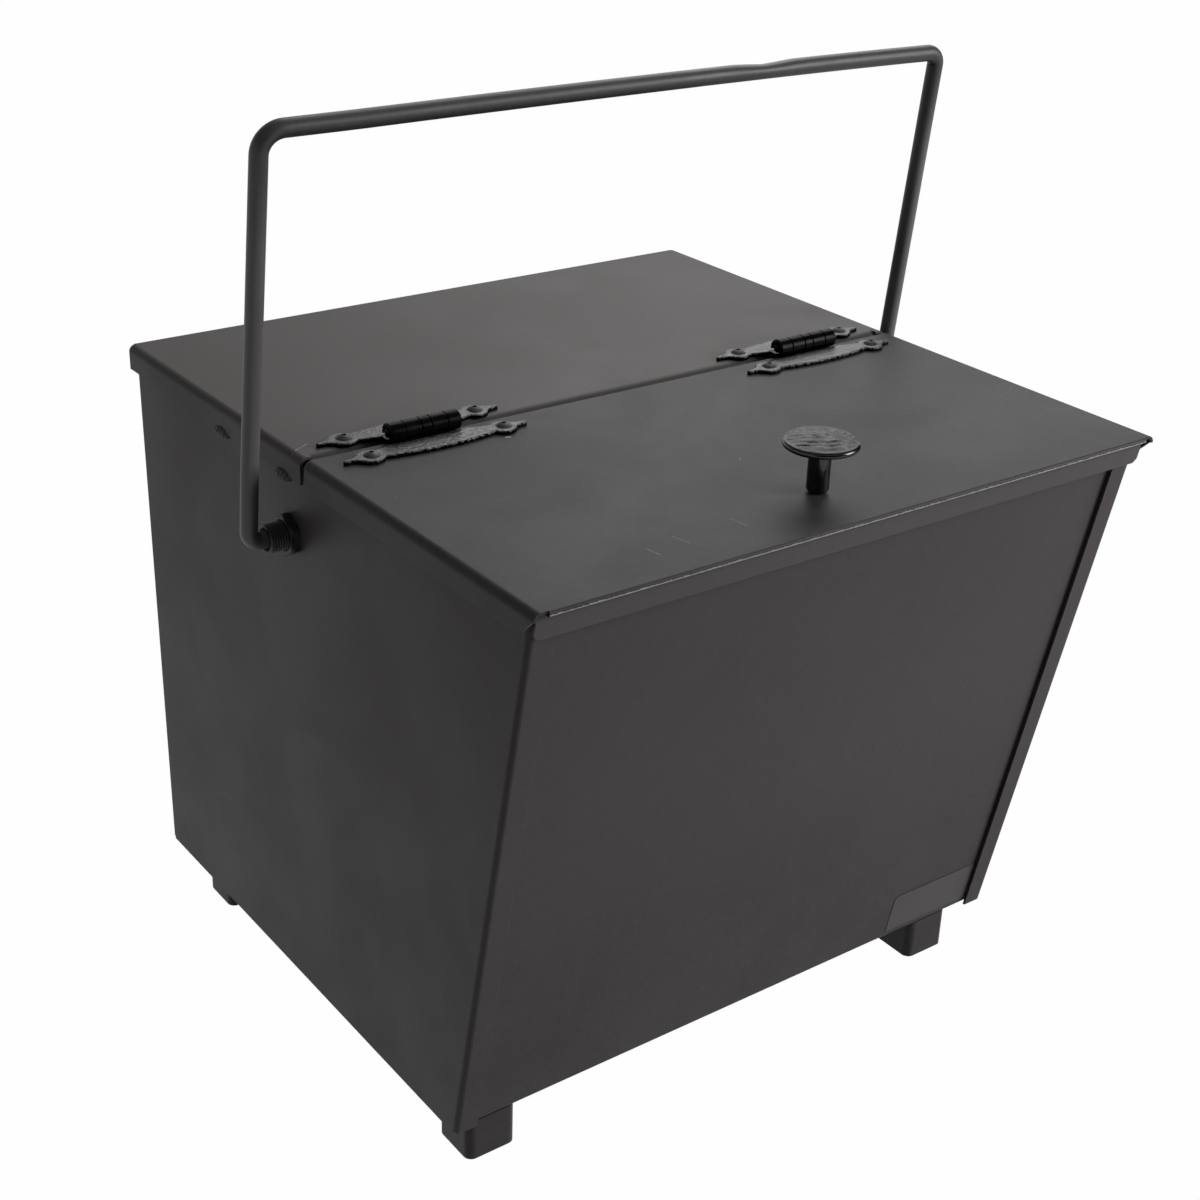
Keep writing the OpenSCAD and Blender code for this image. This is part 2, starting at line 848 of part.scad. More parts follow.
// Hexagon nut with chamfered corners, standing on the origin
module hex_nut() {
    corner = nut_af / sqrt(3);
    bevel = corner - nut_af / 2;
    difference() {
        intersection() {
            cylinder(r = corner, h = nut_h, $fn = 6);
            cylinder(r1 = corner + nut_h - bevel / 2, r2 = corner - bevel / 2, h = nut_h);
        }
        translate([0, 0, -1])
            cylinder(r = bush_r + thread_fit, h = nut_h + 2);
    }
}

module bush_left() {
    color(iron)
        at_pivot(-1)
            bush();
}

module bush_right() {
    color(iron)
        at_pivot(1)
            bush();
}

module bush_outer_nut_left() {
    color(iron)
        at_pivot(-1)
            hex_nut();
}

module bush_outer_nut_right() {
    color(iron)
        at_pivot(1)
            hex_nut();
}

module inner_nut(side) {
    at_pivot(side)
        translate([0, 0, -sheet_t])
            mirror([0, 0, 1])
                hex_nut();
}

module bush_inner_nut_left() {
    color(iron)
        inner_nut(-1);
}

module bush_inner_nut_right() {
    color(iron)
        inner_nut(1);
}

// Flat square with round corners, centred
module round_square(side, radius) {
    square([side - 2 * radius, side], center = true);
    square([side, side - 2 * radius], center = true);
    for (x = [-1, 1], y = [-1, 1])
        translate([x, y] * (side / 2 - radius))
            circle(radius);
}

// A foot with its low corner at the given place, closed at the bottom and open under the floor
module foot(x, y) {
    h = foot_h + floor_up;
    translate([x + foot_w / 2, y + foot_w / 2, 0])
        difference() {
            linear_extrude(h)
                round_square(foot_w, foot_r);
            translate([0, 0, foot_t])
                linear_extrude(h)
                    round_square(foot_w - 2 * foot_t, foot_r - foot_t);
        }
}

module foot_front_left() {
    color(paint)
        foot(foot_x_left, foot_y_front);
}

module foot_front_right() {
    color(paint)
        foot(foot_x_right, foot_y_front);
}

module foot_rear_left() {
    color(paint)
        foot(foot_x_left, foot_y_rear);
}

module foot_rear_right() {
    color(paint)
        foot(foot_x_right, foot_y_rear);
}

body_wrap();
side_panel_left();
side_panel_right();
rear_strip_left();
rear_strip_right();
rear_cover();
cover_tack_welds();
lid();
hinge_cover_leaf_left();
hinge_cover_leaf_right();
hinge_lid_leaf_left();
hinge_lid_leaf_right();
hinge_pin_left();
hinge_pin_right();
cover_hinge_rivets();
lid_hinge_rivets();
knob();
knob_washer();
knob_screw();
bail();
bush_left();
bush_right();
bush_outer_nut_left();
bush_outer_nut_right();
bush_inner_nut_left();
bush_inner_nut_right();
foot_front_left();
foot_front_right();
foot_rear_left();
foot_rear_right();
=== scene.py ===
"""Looks of the ash bucket: powder-coated sheet steel, hammered hinges and knob, and its bail."""

import logging
import math
from dataclasses import dataclass, field
from enum import Enum, StrEnum
from typing import Callable, Sequence

import bmesh
import bpy
from mathutils import Matrix, Vector, noise

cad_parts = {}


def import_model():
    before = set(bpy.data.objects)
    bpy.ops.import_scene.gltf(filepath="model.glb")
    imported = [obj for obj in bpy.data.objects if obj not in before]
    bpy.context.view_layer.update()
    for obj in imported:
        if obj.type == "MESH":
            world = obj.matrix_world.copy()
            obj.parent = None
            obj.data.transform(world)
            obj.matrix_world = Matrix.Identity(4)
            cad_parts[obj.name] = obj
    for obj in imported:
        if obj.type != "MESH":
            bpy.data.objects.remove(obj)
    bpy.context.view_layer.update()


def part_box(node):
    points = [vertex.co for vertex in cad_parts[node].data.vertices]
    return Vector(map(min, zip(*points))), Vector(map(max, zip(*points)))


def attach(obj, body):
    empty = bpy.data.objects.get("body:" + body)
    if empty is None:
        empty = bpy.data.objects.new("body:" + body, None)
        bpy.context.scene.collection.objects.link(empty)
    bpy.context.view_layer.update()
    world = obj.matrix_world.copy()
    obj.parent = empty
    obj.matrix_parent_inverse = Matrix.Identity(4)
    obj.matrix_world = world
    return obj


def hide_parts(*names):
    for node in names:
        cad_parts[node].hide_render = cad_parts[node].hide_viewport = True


MM = 0.001
CLEAR = 0.02  # millimetres that keep a piece off what it lies on
FULL_TURN = 2.0 * math.pi
WHITE = (1.0, 1.0, 1.0, 1.0)
PALE_GRIT = (0.13, 0.125, 0.12, 1.0)
PALE_DUST = (0.16, 0.155, 0.145, 1.0)
RUBBED_EDGE = (0.22, 0.215, 0.205, 1.0)
SCRATCH_AND_HIGHLIGHT = (0.5, 0.485, 0.455, 1.0)
WORN_IRON = (0.12, 0.118, 0.114, 1.0)
FINGER_FILM = (0.15, 0.145, 0.14, 1.0)
log = logging.getLogger("ash_bucket")


class Body(Enum):
    """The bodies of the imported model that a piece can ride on."""

    BUCKET = "bucket"
    LID = "lid"
    BAIL = "bail"


class Side(StrEnum):
    """The two sides of the bucket, as the names of its nodes give them."""

    LEFT = "left"
    RIGHT = "right"

    @property
    def out(self) -> int:
        """Returns the way along X that leads outwards on this side, -1 or 1."""
        return -1 if self is Side.LEFT else 1


class Leaf(Enum):
    """The two leaves of a hinge: which way each one reaches from the hinge's axis."""

    COVER = 1
    LID = -1


@dataclass(frozen=True)
class PhotoCamera:
    """The camera at the photograph's place and angle.

    Attributes:
        place: position in millimetres, in the frame of the part.
        azimuth: heading in degrees, counted from +Y towards -X.
        elevation: how far it looks down, in degrees.
        roll: turn about the line of sight, in degrees.
        lens: focal length in millimetres on the given sensor.
        sensor: width of the square sensor in millimetres.
        sight: how far it sees, in metres.
    """

    place: tuple[float, float, float] = (-625.36, -821.1, 735.01)
    azimuth: float = -36.878
    elevation: float = 25.957
    roll: float = 1.919
    lens: float = 58.01
    sensor: float = 36.0
    sight: float = 30.0

    def build(self) -> bpy.types.Object:
        """Makes the camera and sets it as the scene's own.

        Returns:
            The camera object.
        """
        azimuth, elevation, roll = map(math.radians, (self.azimuth, self.elevation, self.roll))
        back = Vector((
            math.sin(azimuth) * math.cos(elevation),
            -math.cos(azimuth) * math.cos(elevation),
            math.sin(elevation),
        ))
        level = Vector((0.0, 0.0, 1.0)).cross(back).normalized()
        upright = back.cross(level)
        right = level * math.cos(roll) + upright * math.sin(roll)
        up = upright * math.cos(roll) - level * math.sin(roll)
        data = bpy.data.cameras.new("photo_camera")
        data.sensor_fit = "HORIZONTAL"
        data.sensor_width = self.sensor
        data.lens = self.lens
        data.clip_end = self.sight
        camera = bpy.data.objects.new("photo_camera", data)
        turn = Matrix((right, up, back)).transposed().to_4x4()
        camera.matrix_world = Matrix.Translation(Vector(self.place) * MM) @ turn
        bpy.context.scene.collection.objects.link(camera)
        bpy.context.scene.camera = camera
        return camera


class Graph:
    """A short hand for writing the nodes of a material or a shader node group."""

    def __init__(self, tree: bpy.types.NodeTree) -> None:
        """Starts on an empty node tree.

        Args:
            tree: the node tree to write in.
        """
        self.tree = tree
        tree.nodes.clear()

    def node(self, kind: str, **settings: object) -> bpy.types.Node:
        """Adds a node.

        Args:
            kind: the node's type name.
            settings: attributes to set on it.

        Returns:
            The new node.
        """
        made = self.tree.nodes.new(kind)
        for name, value in settings.items():
            setattr(made, name, value)
        return made

    def feed(self, target: bpy.types.NodeSocket, value: object) -> None:
        """Links a socket to an input, or sets the input's own value.

        Args:
            target: the input socket.
            value: an output socket, a number or a tuple.
        """
        if isinstance(value, bpy.types.NodeSocket):
            self.tree.links.new(value, target)
        else:
            target.default_value = value

    def math(self, operation: str, first: object, second: object = 0.0, third: object = 0.0,
             clamp: bool = False) -> bpy.types.NodeSocket:
        """Adds a Math node.

        Args:
            operation: the operation's name.
            first: first input, a socket or a number.
            second: second input.
            third: third input.
            clamp: keep the result between 0 and 1.

        Returns:
            The node's output.
        """
        made = self.node("ShaderNodeMath", operation=operation, use_clamp=clamp)
        self.feed(made.inputs[0], first)
        self.feed(made.inputs[1], second)
        self.feed(made.inputs[2], third)
        return made.outputs[0]

    def vector(self, operation: str, first: object, second: object = (0.0, 0.0, 0.0)
               ) -> bpy.types.Node:
        """Adds a Vector Math node.

        Args:
            operation: the operation's name.
            first: first vector.
            second: second vector.

        Returns:
            The node, so that either of its outputs can be taken.
        """
        made = self.node("ShaderNodeVectorMath", operation=operation)
        self.feed(made.inputs[0], first)
        self.feed(made.inputs[1], second)
        return made

    def span(self, value: object, low: float, high: float, to_low: float = 0.0,
             to_high: float = 1.0) -> bpy.types.NodeSocket:
        """Maps one span of numbers onto another, with a smooth start and end.

        Args:
            value: the number to map.
            low: start of the span that it comes from.
            high: end of that span.
            to_low: result at the start.
            to_high: result at the end.

        Returns:
            The mapped number.
        """
        made = self.node("ShaderNodeMapRange", interpolation_type="SMOOTHSTEP")
        self.feed(made.inputs["Value"], value)
        self.feed(made.inputs["From Min"], low)
        self.feed(made.inputs["From Max"], high)
        self.feed(made.inputs["To Min"], to_low)
        self.feed(made.inputs["To Max"], to_high)
        return made.outputs[0]

    def mix(self, amount: object, first: object, second: object) -> bpy.types.NodeSocket:
        """Mixes two colours.

        Args:
            amount: share of the second colour.
            first: a colour.
            second: another colour.

        Returns:
            The mixed colour.
        """
        made = self.node("ShaderNodeMix", data_type="RGBA")
        self.feed(made.inputs["Factor"], amount)
        self.feed(made.inputs[6], first)
        self.feed(made.inputs[7], second)
        return made.outputs[2]

    def noise(self, place: object, scale: object, detail: float = 2.0, roughness: float = 0.5,
              distortion: float = 0.0) -> bpy.types.NodeSocket:
        """Adds a Noise Texture.

        Args:
            place: the point in space.
            scale: cells per metre.
            detail: octaves.
            roughness: share of the finer octaves.
            distortion: how far the cells are bent.

        Returns:
            The noise, about 0 to 1.
        """
        made = self.node("ShaderNodeTexNoise", noise_dimensions="3D")
        self.feed(made.inputs["Vector"], place)
        self.feed(made.inputs["Scale"], scale)
        self.feed(made.inputs["Detail"], detail)
        self.feed(made.inputs["Roughness"], roughness)
        self.feed(made.inputs["Distortion"], distortion)
        return made.outputs["Fac"]

    def bump(self, shader: bpy.types.Node, height: bpy.types.NodeSocket, depth: float,
             strength: float = 1.0) -> None:
        """Bends a shader's normal by a height.

        Args:
            shader: the shader.
            height: the height.
            depth: what a height of 1 stands for, in metres.
            strength: how strongly it shows.
        """
        made = self.node("ShaderNodeBump")
        self.feed(made.inputs["Height"], height)
        self.preset(made, Strength=strength, Distance=depth)
        self.feed(shader.inputs["Normal"], made.outputs["Normal"])

    def backdrop_rays(self) -> bpy.types.NodeSocket:
        """Tells the rays that show the backdrop from those that carry its light.

        Returns:
            1 for what the camera, a reflection or glass shows, and 0 for other rays.
        """
        path = self.node("ShaderNodeLightPath")
        seen = self.math("MAXIMUM", path.outputs["Is Camera Ray"], path.outputs["Is Glossy Ray"])
        return self.math("MAXIMUM", seen, path.outputs["Is Transmission Ray"])

    def preset(self, node: bpy.types.Node, **values: object) -> None:
        """Sets a node's own inputs, by name with underscores for spaces."""
        for name, value in values.items():
            self.feed(node.inputs[name.replace("_", " ")], value)

    def here(self) -> bpy.types.NodeSocket:
        """Returns the point being shaded, in the part's own frame."""
        return self.node("ShaderNodeTexCoord").outputs["Object"]


@dataclass
class Effects:
    """The effects that several finishes share, each one a shader node group that is built once."""

    made: dict[str, bpy.types.NodeTree] = field(default_factory=dict)

    def group(self, name: str, inputs: dict[str, float | tuple[float, float, float]],
              outputs: Sequence[str], write: Callable[[Graph, bpy.types.Node, bpy.types.Node], None]
              ) -> bpy.types.NodeTree:
        """Builds a node group, or returns the one that was built before.

        Args:
            name: the group's name.
            inputs: the name and default value of each input, a number or a vector.
            outputs: the name of each output, a number.
            write: writes the nodes between the group's input and output.

        Returns:
            The node group.
        """
        if name in self.made:
            return self.made[name]
        tree = bpy.data.node_groups.new(name, "ShaderNodeTree")
        for label, value in inputs.items():
            kind = "NodeSocketVector" if isinstance(value, tuple) else "NodeSocketFloat"
            socket = tree.interface.new_socket(label, in_out="INPUT", socket_type=kind)
            socket.default_value = value
        for label in outputs:
            tree.interface.new_socket(label, in_out="OUTPUT", socket_type="NodeSocketFloat")
        graph = Graph(tree)
        write(graph, graph.node("NodeGroupInput"), graph.node("NodeGroupOutput"))
        self.made[name] = tree
        return tree

    def place(self, graph: Graph, tree: bpy.types.NodeTree, **values: object) -> bpy.types.Node:
        """Puts a node group in a material.

        Args:
            graph: the material's graph.
            tree: the node group.
            values: inputs by name, with underscores for spaces.

        Returns:
            The group node.
        """
        made = graph.node("ShaderNodeGroup", node_tree=tree)
        graph.preset(made, **values)
        return made

    def powder_grain(self) -> bpy.types.NodeTree:
        """Fine orange-peel grain of a powder coat, with faint cloudy shade.

        Returns:
            A group with the inputs Grain Size and Cloud Size, and the outputs Height and Cloud.
        """
        def write(graph: Graph, entry: bpy.types.Node, leave: bpy.types.Node) -> None:
            """Writes the group's nodes."""
            spot = graph.here()
            fine = graph.math("DIVIDE", 1.0, entry.outputs["Grain Size"])
            coarse = graph.math("DIVIDE", 1.0, entry.outputs["Cloud Size"])
            peel = graph.noise(spot, fine, detail=2.0, roughness=0.55)
            broad = graph.noise(spot, graph.math("MULTIPLY", fine, 0.23), detail=1.0)
            height = graph.math("MULTIPLY_ADD", peel, 0.65, graph.math("MULTIPLY", broad, 0.35))
            graph.feed(leave.inputs["Height"], height)
            cloud = graph.noise(spot, coarse, detail=5.0, roughness=0.6, distortion=0.4)
            graph.feed(leave.inputs["Cloud"], cloud)

        inputs = {"Grain Size": 0.0008, "Cloud Size": 0.09}
        return self.group("powder_grain", inputs, ("Height", "Cloud"), write)

    def edge_wear(self) -> bpy.types.NodeTree:
        """Paint rubbed thin along sharp edges.

        Returns:
            A group with the inputs Width, Patch Size and Amount, and the output Mask.
        """
        def write(graph: Graph, entry: bpy.types.Node, leave: bpy.types.Node) -> None:
            """Writes the group's nodes."""
            rounded = graph.node("ShaderNodeBevel", samples=4)
            graph.feed(rounded.inputs["Radius"], entry.outputs["Width"])
            true_normal = graph.node("ShaderNodeNewGeometry").outputs["Normal"]
            likeness = graph.vector("DOT_PRODUCT", rounded.outputs[0], true_normal).outputs["Value"]
            edge = graph.span(likeness, 0.995, 0.86)
            per_metre = graph.math("DIVIDE", 1.0, entry.outputs["Patch Size"])
            patches = graph.noise(graph.here(), per_metre, detail=4.0, roughness=0.65)
            worn = graph.math("MULTIPLY", edge, graph.span(patches, 0.42, 0.62))
            mask = graph.math("MULTIPLY", worn, entry.outputs["Amount"], clamp=True)
            graph.feed(leave.inputs["Mask"], mask)

        inputs = {"Width": 0.0006, "Patch Size": 0.012, "Amount": 0.5}
        return self.group("edge_wear", inputs, ("Mask",), write)

    def smears(self) -> bpy.types.NodeTree:
        """Wiped dust and finger marks, as long soft streaks and blots.

        Returns:
            A group with the input Size and the output Mask.
        """
        def write(graph: Graph, entry: bpy.types.Node, leave: bpy.types.Node) -> None:
            """Writes the group's nodes."""
            stretched = graph.vector("MULTIPLY", graph.here(), (1.0, 1.0, 0.3)).outputs[0]
            size = graph.math("DIVIDE", 1.0, entry.outputs["Size"])
            blots = graph.noise(stretched, size, detail=6.0, roughness=0.62, distortion=1.4)
            where = graph.noise(graph.here(), graph.math("MULTIPLY", size, 0.35), detail=2.0)
            blots, where = graph.span(blots, 0.5, 0.72), graph.span(where, 0.48, 0.64)
            graph.feed(leave.inputs["Mask"], graph.math("MULTIPLY", blots, where))

        return self.group("smears", {"Size": 0.05}, ("Mask",), write)

    def dust_specks(self) -> bpy.types.NodeTree:
        """Tiny pale specks, far apart.

        Returns:
            A group with the inputs Spacing and Radius, and the output Mask.
        """
        def write(graph: Graph, entry: bpy.types.Node, leave: bpy.types.Node) -> None:
            """Writes the group's nodes."""
            cells = graph.node("ShaderNodeTexVoronoi", feature="F1", voronoi_dimensions="3D")
            graph.feed(cells.inputs["Vector"], graph.here())
            per_metre = graph.math("DIVIDE", 1.0, entry.outputs["Spacing"])
            graph.feed(cells.inputs["Scale"], per_metre)
            reach = graph.math("MULTIPLY", cells.outputs["Distance"], entry.outputs["Spacing"])
            dot = graph.math("LESS_THAN", reach, entry.outputs["Radius"])
            graph.feed(leave.inputs["Mask"], dot)

        return self.group("dust_specks", {"Spacing": 0.03, "Radius": 0.0003}, ("Mask",), write)

    def painted_light_by_height(self) -> bpy.types.NodeTree:
        """A soft fade between two heights with an uneven edge: where light and shade are painted by
        height.

        Returns:
            A group with the inputs Start, End and Uneven, all heights, and the output Mask.
        """
        def write(graph: Graph, entry: bpy.types.Node, leave: bpy.types.Node) -> None:
            """Writes the group's nodes."""
            spot = graph.here()
            parts = graph.node("ShaderNodeSeparateXYZ")
            graph.feed(parts.inputs[0], spot)
            wave = graph.math("SUBTRACT", graph.noise(spot, 9.0, detail=3.0), 0.5)
            uneven = graph.math("MULTIPLY", wave, entry.outputs["Uneven"])
            height = graph.math("ADD", parts.outputs["Z"], uneven)
            whole = graph.math("SUBTRACT", entry.outputs["End"], entry.outputs["Start"])
            risen = graph.math("SUBTRACT", height, entry.outputs["Start"])
            share = graph.math("DIVIDE", risen, whole, clamp=True)
            graph.feed(leave.inputs["Mask"], graph.span(share, 0.0, 1.0))

        inputs = {"Start": 0.3, "End": 0.0, "Uneven": 0.02}
        return self.group("painted_light_by_height", inputs, ("Mask",), write)

    def line_mark(self) -> bpy.types.NodeTree:
        """One thin pale line between two points: a scratched line, and on the lid's hem a painted
        highlight.

        Returns:
            A group with the inputs Start, End and Width, and the output Mask.
        """
        def write(graph: Graph, entry: bpy.types.Node, leave: bpy.types.Node) -> None:
            """Writes the group's nodes."""
            spot = graph.here()
            run = graph.vector("SUBTRACT", entry.outputs["End"], entry.outputs["Start"]).outputs[0]
            reach = graph.vector("SUBTRACT", spot, entry.outputs["Start"]).outputs[0]
            along = graph.vector("DOT_PRODUCT", reach, run).outputs["Value"]
            whole = graph.vector("DOT_PRODUCT", run, run).outputs["Value"]
            share = graph.math("DIVIDE", along, whole, clamp=True)
            scaled = graph.node("ShaderNodeVectorMath", operation="SCALE")
            graph.feed(scaled.inputs[0], run)
            graph.feed(scaled.inputs["Scale"], share)
            wander = graph.noise(spot, 900.0, detail=2.0)
            away = graph.vector("SUBTRACT", reach, scaled.outputs[0]).outputs[0]
            gap = graph.vector("LENGTH", away).outputs["Value"]
            narrowed = graph.span(wander, 0.3, 0.7, to_low=0.35)
            ragged = graph.math("MULTIPLY", entry.outputs["Width"], narrowed)
            graph.feed(leave.inputs["Mask"], graph.math("LESS_THAN", gap, ragged))

        inputs = {"Start": (0.0, 0.0, 0.0), "End": (0.0, 0.0, 0.0), "Width": 0.0003}
        return self.group("line_mark", inputs, ("Mask",), write)

    def hammer_marks(self) -> bpy.types.NodeTree:
        """Fine hammer and forge marks that are too small to model.

        Returns:
            A group with the input Size, and the outputs Height and Shade.
        """
        def write(graph: Graph, entry: bpy.types.Node, leave: bpy.types.Node) -> None:
            """Writes the group's nodes."""
            spot = graph.here()
            per_metre = graph.math("DIVIDE", 1.0, entry.outputs["Size"])
            cells = graph.node("ShaderNodeTexVoronoi", feature="SMOOTH_F1", voronoi_dimensions="3D")
            graph.feed(cells.inputs["Vector"], spot)
            graph.feed(cells.inputs["Scale"], per_metre)
            graph.feed(cells.inputs["Smoothness"], 0.35)
            finer = graph.math("MULTIPLY", per_metre, 4.0)
            grit = graph.noise(spot, finer, detail=3.0, roughness=0.6)
            dents = cells.outputs["Distance"]
            broad = graph.math("MULTIPLY", per_metre, 0.5)
            graph.feed(leave.inputs["Height"], graph.math("MULTIPLY_ADD", grit, 0.3, dents))
            graph.feed(leave.inputs["Shade"], graph.noise(spot, broad, detail=4.0))

        return self.group("hammer_marks", {"Size": 0.003}, ("Height", "Shade"), write)

    def forge_streaks(self) -> bpy.types.NodeTree:
        """Long slanting marks that the hammer draws out over a forged face.

        Returns:
            A group with the inputs Width and Slant, and the output Height.
        """
        def write(graph: Graph, entry: bpy.types.Node, leave: bpy.types.Node) -> None:
            """Writes the group's nodes."""
            turned = graph.node("ShaderNodeVectorRotate", rotation_type="Z_AXIS")
            graph.feed(turned.inputs["Vector"], graph.here())
            graph.feed(turned.inputs["Angle"], entry.outputs["Slant"])
            drawn = graph.vector("MULTIPLY", turned.outputs[0], (0.16, 1.0, 1.0)).outputs[0]
            per_metre = graph.math("DIVIDE", 1.0, entry.outputs["Width"])
            height = graph.noise(drawn, per_metre, detail=3.0, roughness=0.6, distortion=0.3)
            graph.feed(leave.inputs["Height"], height)

        return self.group("forge_streaks", {"Width": 0.0015, "Slant": 0.6}, ("Height",), write)


@dataclass(frozen=True)
class LineMark:
    """A thin pale line between two points on the surface, in millimetres: a scratched line, and on
    the lid's hem a painted highlight.
    """

    start: tuple[float, float, float]
    end: tuple[float, float, float]
    width: float = 0.3


def new_material(name: str) -> tuple[bpy.types.Material, Graph, bpy.types.Node]:
    """Makes a material with a Principled shader.

    Args:
        name: the material's name.

    Returns:
        The material, its graph and its shader.
    """
    material = bpy.data.materials.new(name)
    material.use_nodes = True
    graph = Graph(material.node_tree)
    shader = graph.node("ShaderNodeBsdfPrincipled")
    output = graph.node("ShaderNodeOutputMaterial")
    graph.feed(output.inputs["Surface"], shader.outputs[0])
    return material, graph, shader


def toned(colour: Sequence[float], share: float = 1.0) -> tuple[float, ...]:
    """Returns a colour times a share, with a full alpha."""
    return *(part * share for part in colour), 1.0


@dataclass(frozen=True)
class PowderCoat:
    """Matte powder coat on sheet steel: fine grain, soft clouds, rubbed edges, dust, scratched
    lines, and painted light, shade and highlights.

    Attributes:
        name: the material's name.
        colour: the coat's colour, linear.
        cloud: how much lighter and darker the clouds are, as a share of the colour.
        roughness: middle of the roughness.
        specular: strength of the coat's own reflection.
        grain: size of the grain in millimetres.
        grain_depth: depth of the grain in millimetres.
        wear: how much of the edges is rubbed.
        smear: how strong the wiped dust is.
        speckle: how strong the pale specks of the coat's grain are.
        fade: heights in millimetres where the painted light and shade start and where they are
            full.
        painted_light_share: the colour there, as a share of the colour: below 1 painted shade,
            above 1 painted light.
        fade_wave: how uneven the edge of the painted light and shade is, in millimetres.
        scratches_and_highlights: thin pale lines at their places: scratched lines, and painted
            highlights along edges.
    """

    name: str
    colour: tuple[float, float, float] = (0.06, 0.0575, 0.0565)
    cloud: float = 0.1
    roughness: float = 0.5
    specular: float = 0.13
    grain: float = 0.8
    grain_depth: float = 0.02
    wear: float = 0.35
    smear: float = 0.1
    speckle: float = 0.12
    fade: tuple[float, float] = (250.0, 40.0)
    painted_light_share: float = 1.0
    fade_wave: float = 20.0
    scratches_and_highlights: tuple[LineMark, ...] = ()

    def build(self, effects: Effects) -> bpy.types.Material:
        """Builds the material.

        Args:
            effects: the shared node groups.

        Returns:
            The material.
        """
        material, graph, shader = new_material(self.name)
        grain = effects.place(graph, effects.powder_grain(), Grain_Size=self.grain * MM)
        wear = effects.place(graph, effects.edge_wear(), Amount=self.wear).outputs["Mask"]
        smears = effects.place(graph, effects.smears()).outputs["Mask"]
        cloud = graph.span(grain.outputs["Cloud"], 0.3, 0.7)
        dark, light = toned(self.colour, 1.0 - self.cloud), toned(self.colour, 1.0 + self.cloud)
        tint = graph.mix(cloud, dark, light)
        # Light and shade painted by height: the colour is scaled over the span, darker as painted
        # shade, lighter as painted light.
        if self.painted_light_share != 1.0:
            start, end = self.fade
            fade = effects.place(
                graph, effects.painted_light_by_height(),
                Start=start * MM, End=end * MM, Uneven=self.fade_wave * MM,
            )
            tint = graph.mix(fade.outputs["Mask"], tint, toned(self.colour, self.painted_light_share))
        grit = graph.math("MULTIPLY", graph.span(grain.outputs["Height"], 0.4, 0.68), self.speckle)
        dust = graph.math("MULTIPLY", smears, self.smear)
        marks = graph.math("MULTIPLY", self.marks(effects, graph), 0.75)
        # The last layer holds the specks, the scratched lines and the painted highlight lines.
        layers = (
            (grit, PALE_GRIT), (dust, PALE_DUST), (wear, RUBBED_EDGE), (marks, SCRATCH_AND_HIGHLIGHT),
        )
        for amount, colour in layers:
            tint = graph.mix(amount, tint, colour)
        graph.feed(shader.inputs["Base Color"], tint)
        rough = graph.math("SUBTRACT", cloud, 0.5)
        rough = graph.math("MULTIPLY_ADD", rough, 0.08, self.roughness)
        rough = graph.math("MULTIPLY_ADD", wear, -0.12, rough)
        rough = graph.math("MULTIPLY_ADD", dust, 0.5, rough, clamp=True)
        graph.feed(shader.inputs["Roughness"], rough)
        graph.preset(shader, Specular_IOR_Level=self.specular)
        graph.bump(shader, grain.outputs["Height"], self.grain_depth * MM, 0.6)
        return material

    def marks(self, effects: Effects, graph: Graph) -> bpy.types.NodeSocket:
        """Joins the specks of dust, the scratched lines and the painted highlight lines.

        Args:
            effects: the shared node groups.
            graph: the material's graph.

        Returns:
            Their mask.
        """
        specks = effects.place(graph, effects.dust_specks()).outputs["Mask"]
        joined = graph.math("MULTIPLY", specks, 0.5)
        for mark in self.scratches_and_highlights:
            line = effects.place(
                graph, effects.line_mark(),
                Start=Vector(mark.start) * MM, End=Vector(mark.end) * MM, Width=mark.width * MM,
            )
            joined = graph.math("MAXIMUM", joined, line.outputs["Mask"])
        return joined


@dataclass(frozen=True)
class ForgedPaint:
    """Semi-gloss black paint on hammered iron.

    Attributes:
        name: the material's name.
        colour: the paint's colour, linear.
        roughness: middle of the roughness.
        specular: strength of its reflection.
        mark: size of the hammer marks in millimetres.
        depth: their depth in millimetres.
        wear: how much of the edges is rubbed.
        streak: share of the height that is drawn out in slanting streaks.
        slant: turn of the streaks about the upright axis, in degrees.
    """

    name: str
    colour: tuple[float, float, float] = (0.03, 0.029, 0.0285)
    roughness: float = 0.36
    specular: float = 0.5
    mark: float = 2.2
    depth: float = 0.12
    wear: float = 0.3
    streak: float = 0.0
    slant: float = 35.0

    def build(self, effects: Effects) -> bpy.types.Material:
        """Builds the material.

        Args:
            effects: the shared node groups.

        Returns:
            The material.
        """
        material, graph, shader = new_material(self.name)
        marks = effects.place(graph, effects.hammer_marks(), Size=self.mark * MM)
        wear = effects.place(
            graph, effects.edge_wear(), Width=0.0004, Patch_Size=0.004, Amount=self.wear,
        )
        grain = effects.place(graph, effects.powder_grain(), Grain_Size=0.0006, Cloud_Size=0.02)
        shade = graph.span(marks.outputs["Shade"], 0.3, 0.7)
        tint = graph.mix(shade, toned(self.colour, 0.75), toned(self.colour, 1.3))
        tint = graph.mix(wear.outputs["Mask"], tint, WORN_IRON)
        graph.feed(shader.inputs["Base Color"], tint)
        rough = graph.math("SUBTRACT", shade, 0.5)
        rough = graph.math("MULTIPLY_ADD", rough, 0.14, self.roughness)
        graph.feed(shader.inputs["Roughness"], rough)
        graph.preset(shader, Specular_IOR_Level=self.specular)
        height = graph.math("MULTIPLY_ADD", grain.outputs["Height"], 0.25, marks.outputs["Height"])
        if self.streak > 0.0:
            drawn = effects.place(graph, effects.forge_streaks(), Slant=math.radians(self.slant))
            height = graph.math("MULTIPLY_ADD", drawn.outputs["Height"], self.streak, height)
        graph.bump(shader, height, self.depth * MM, 0.7)
        return material


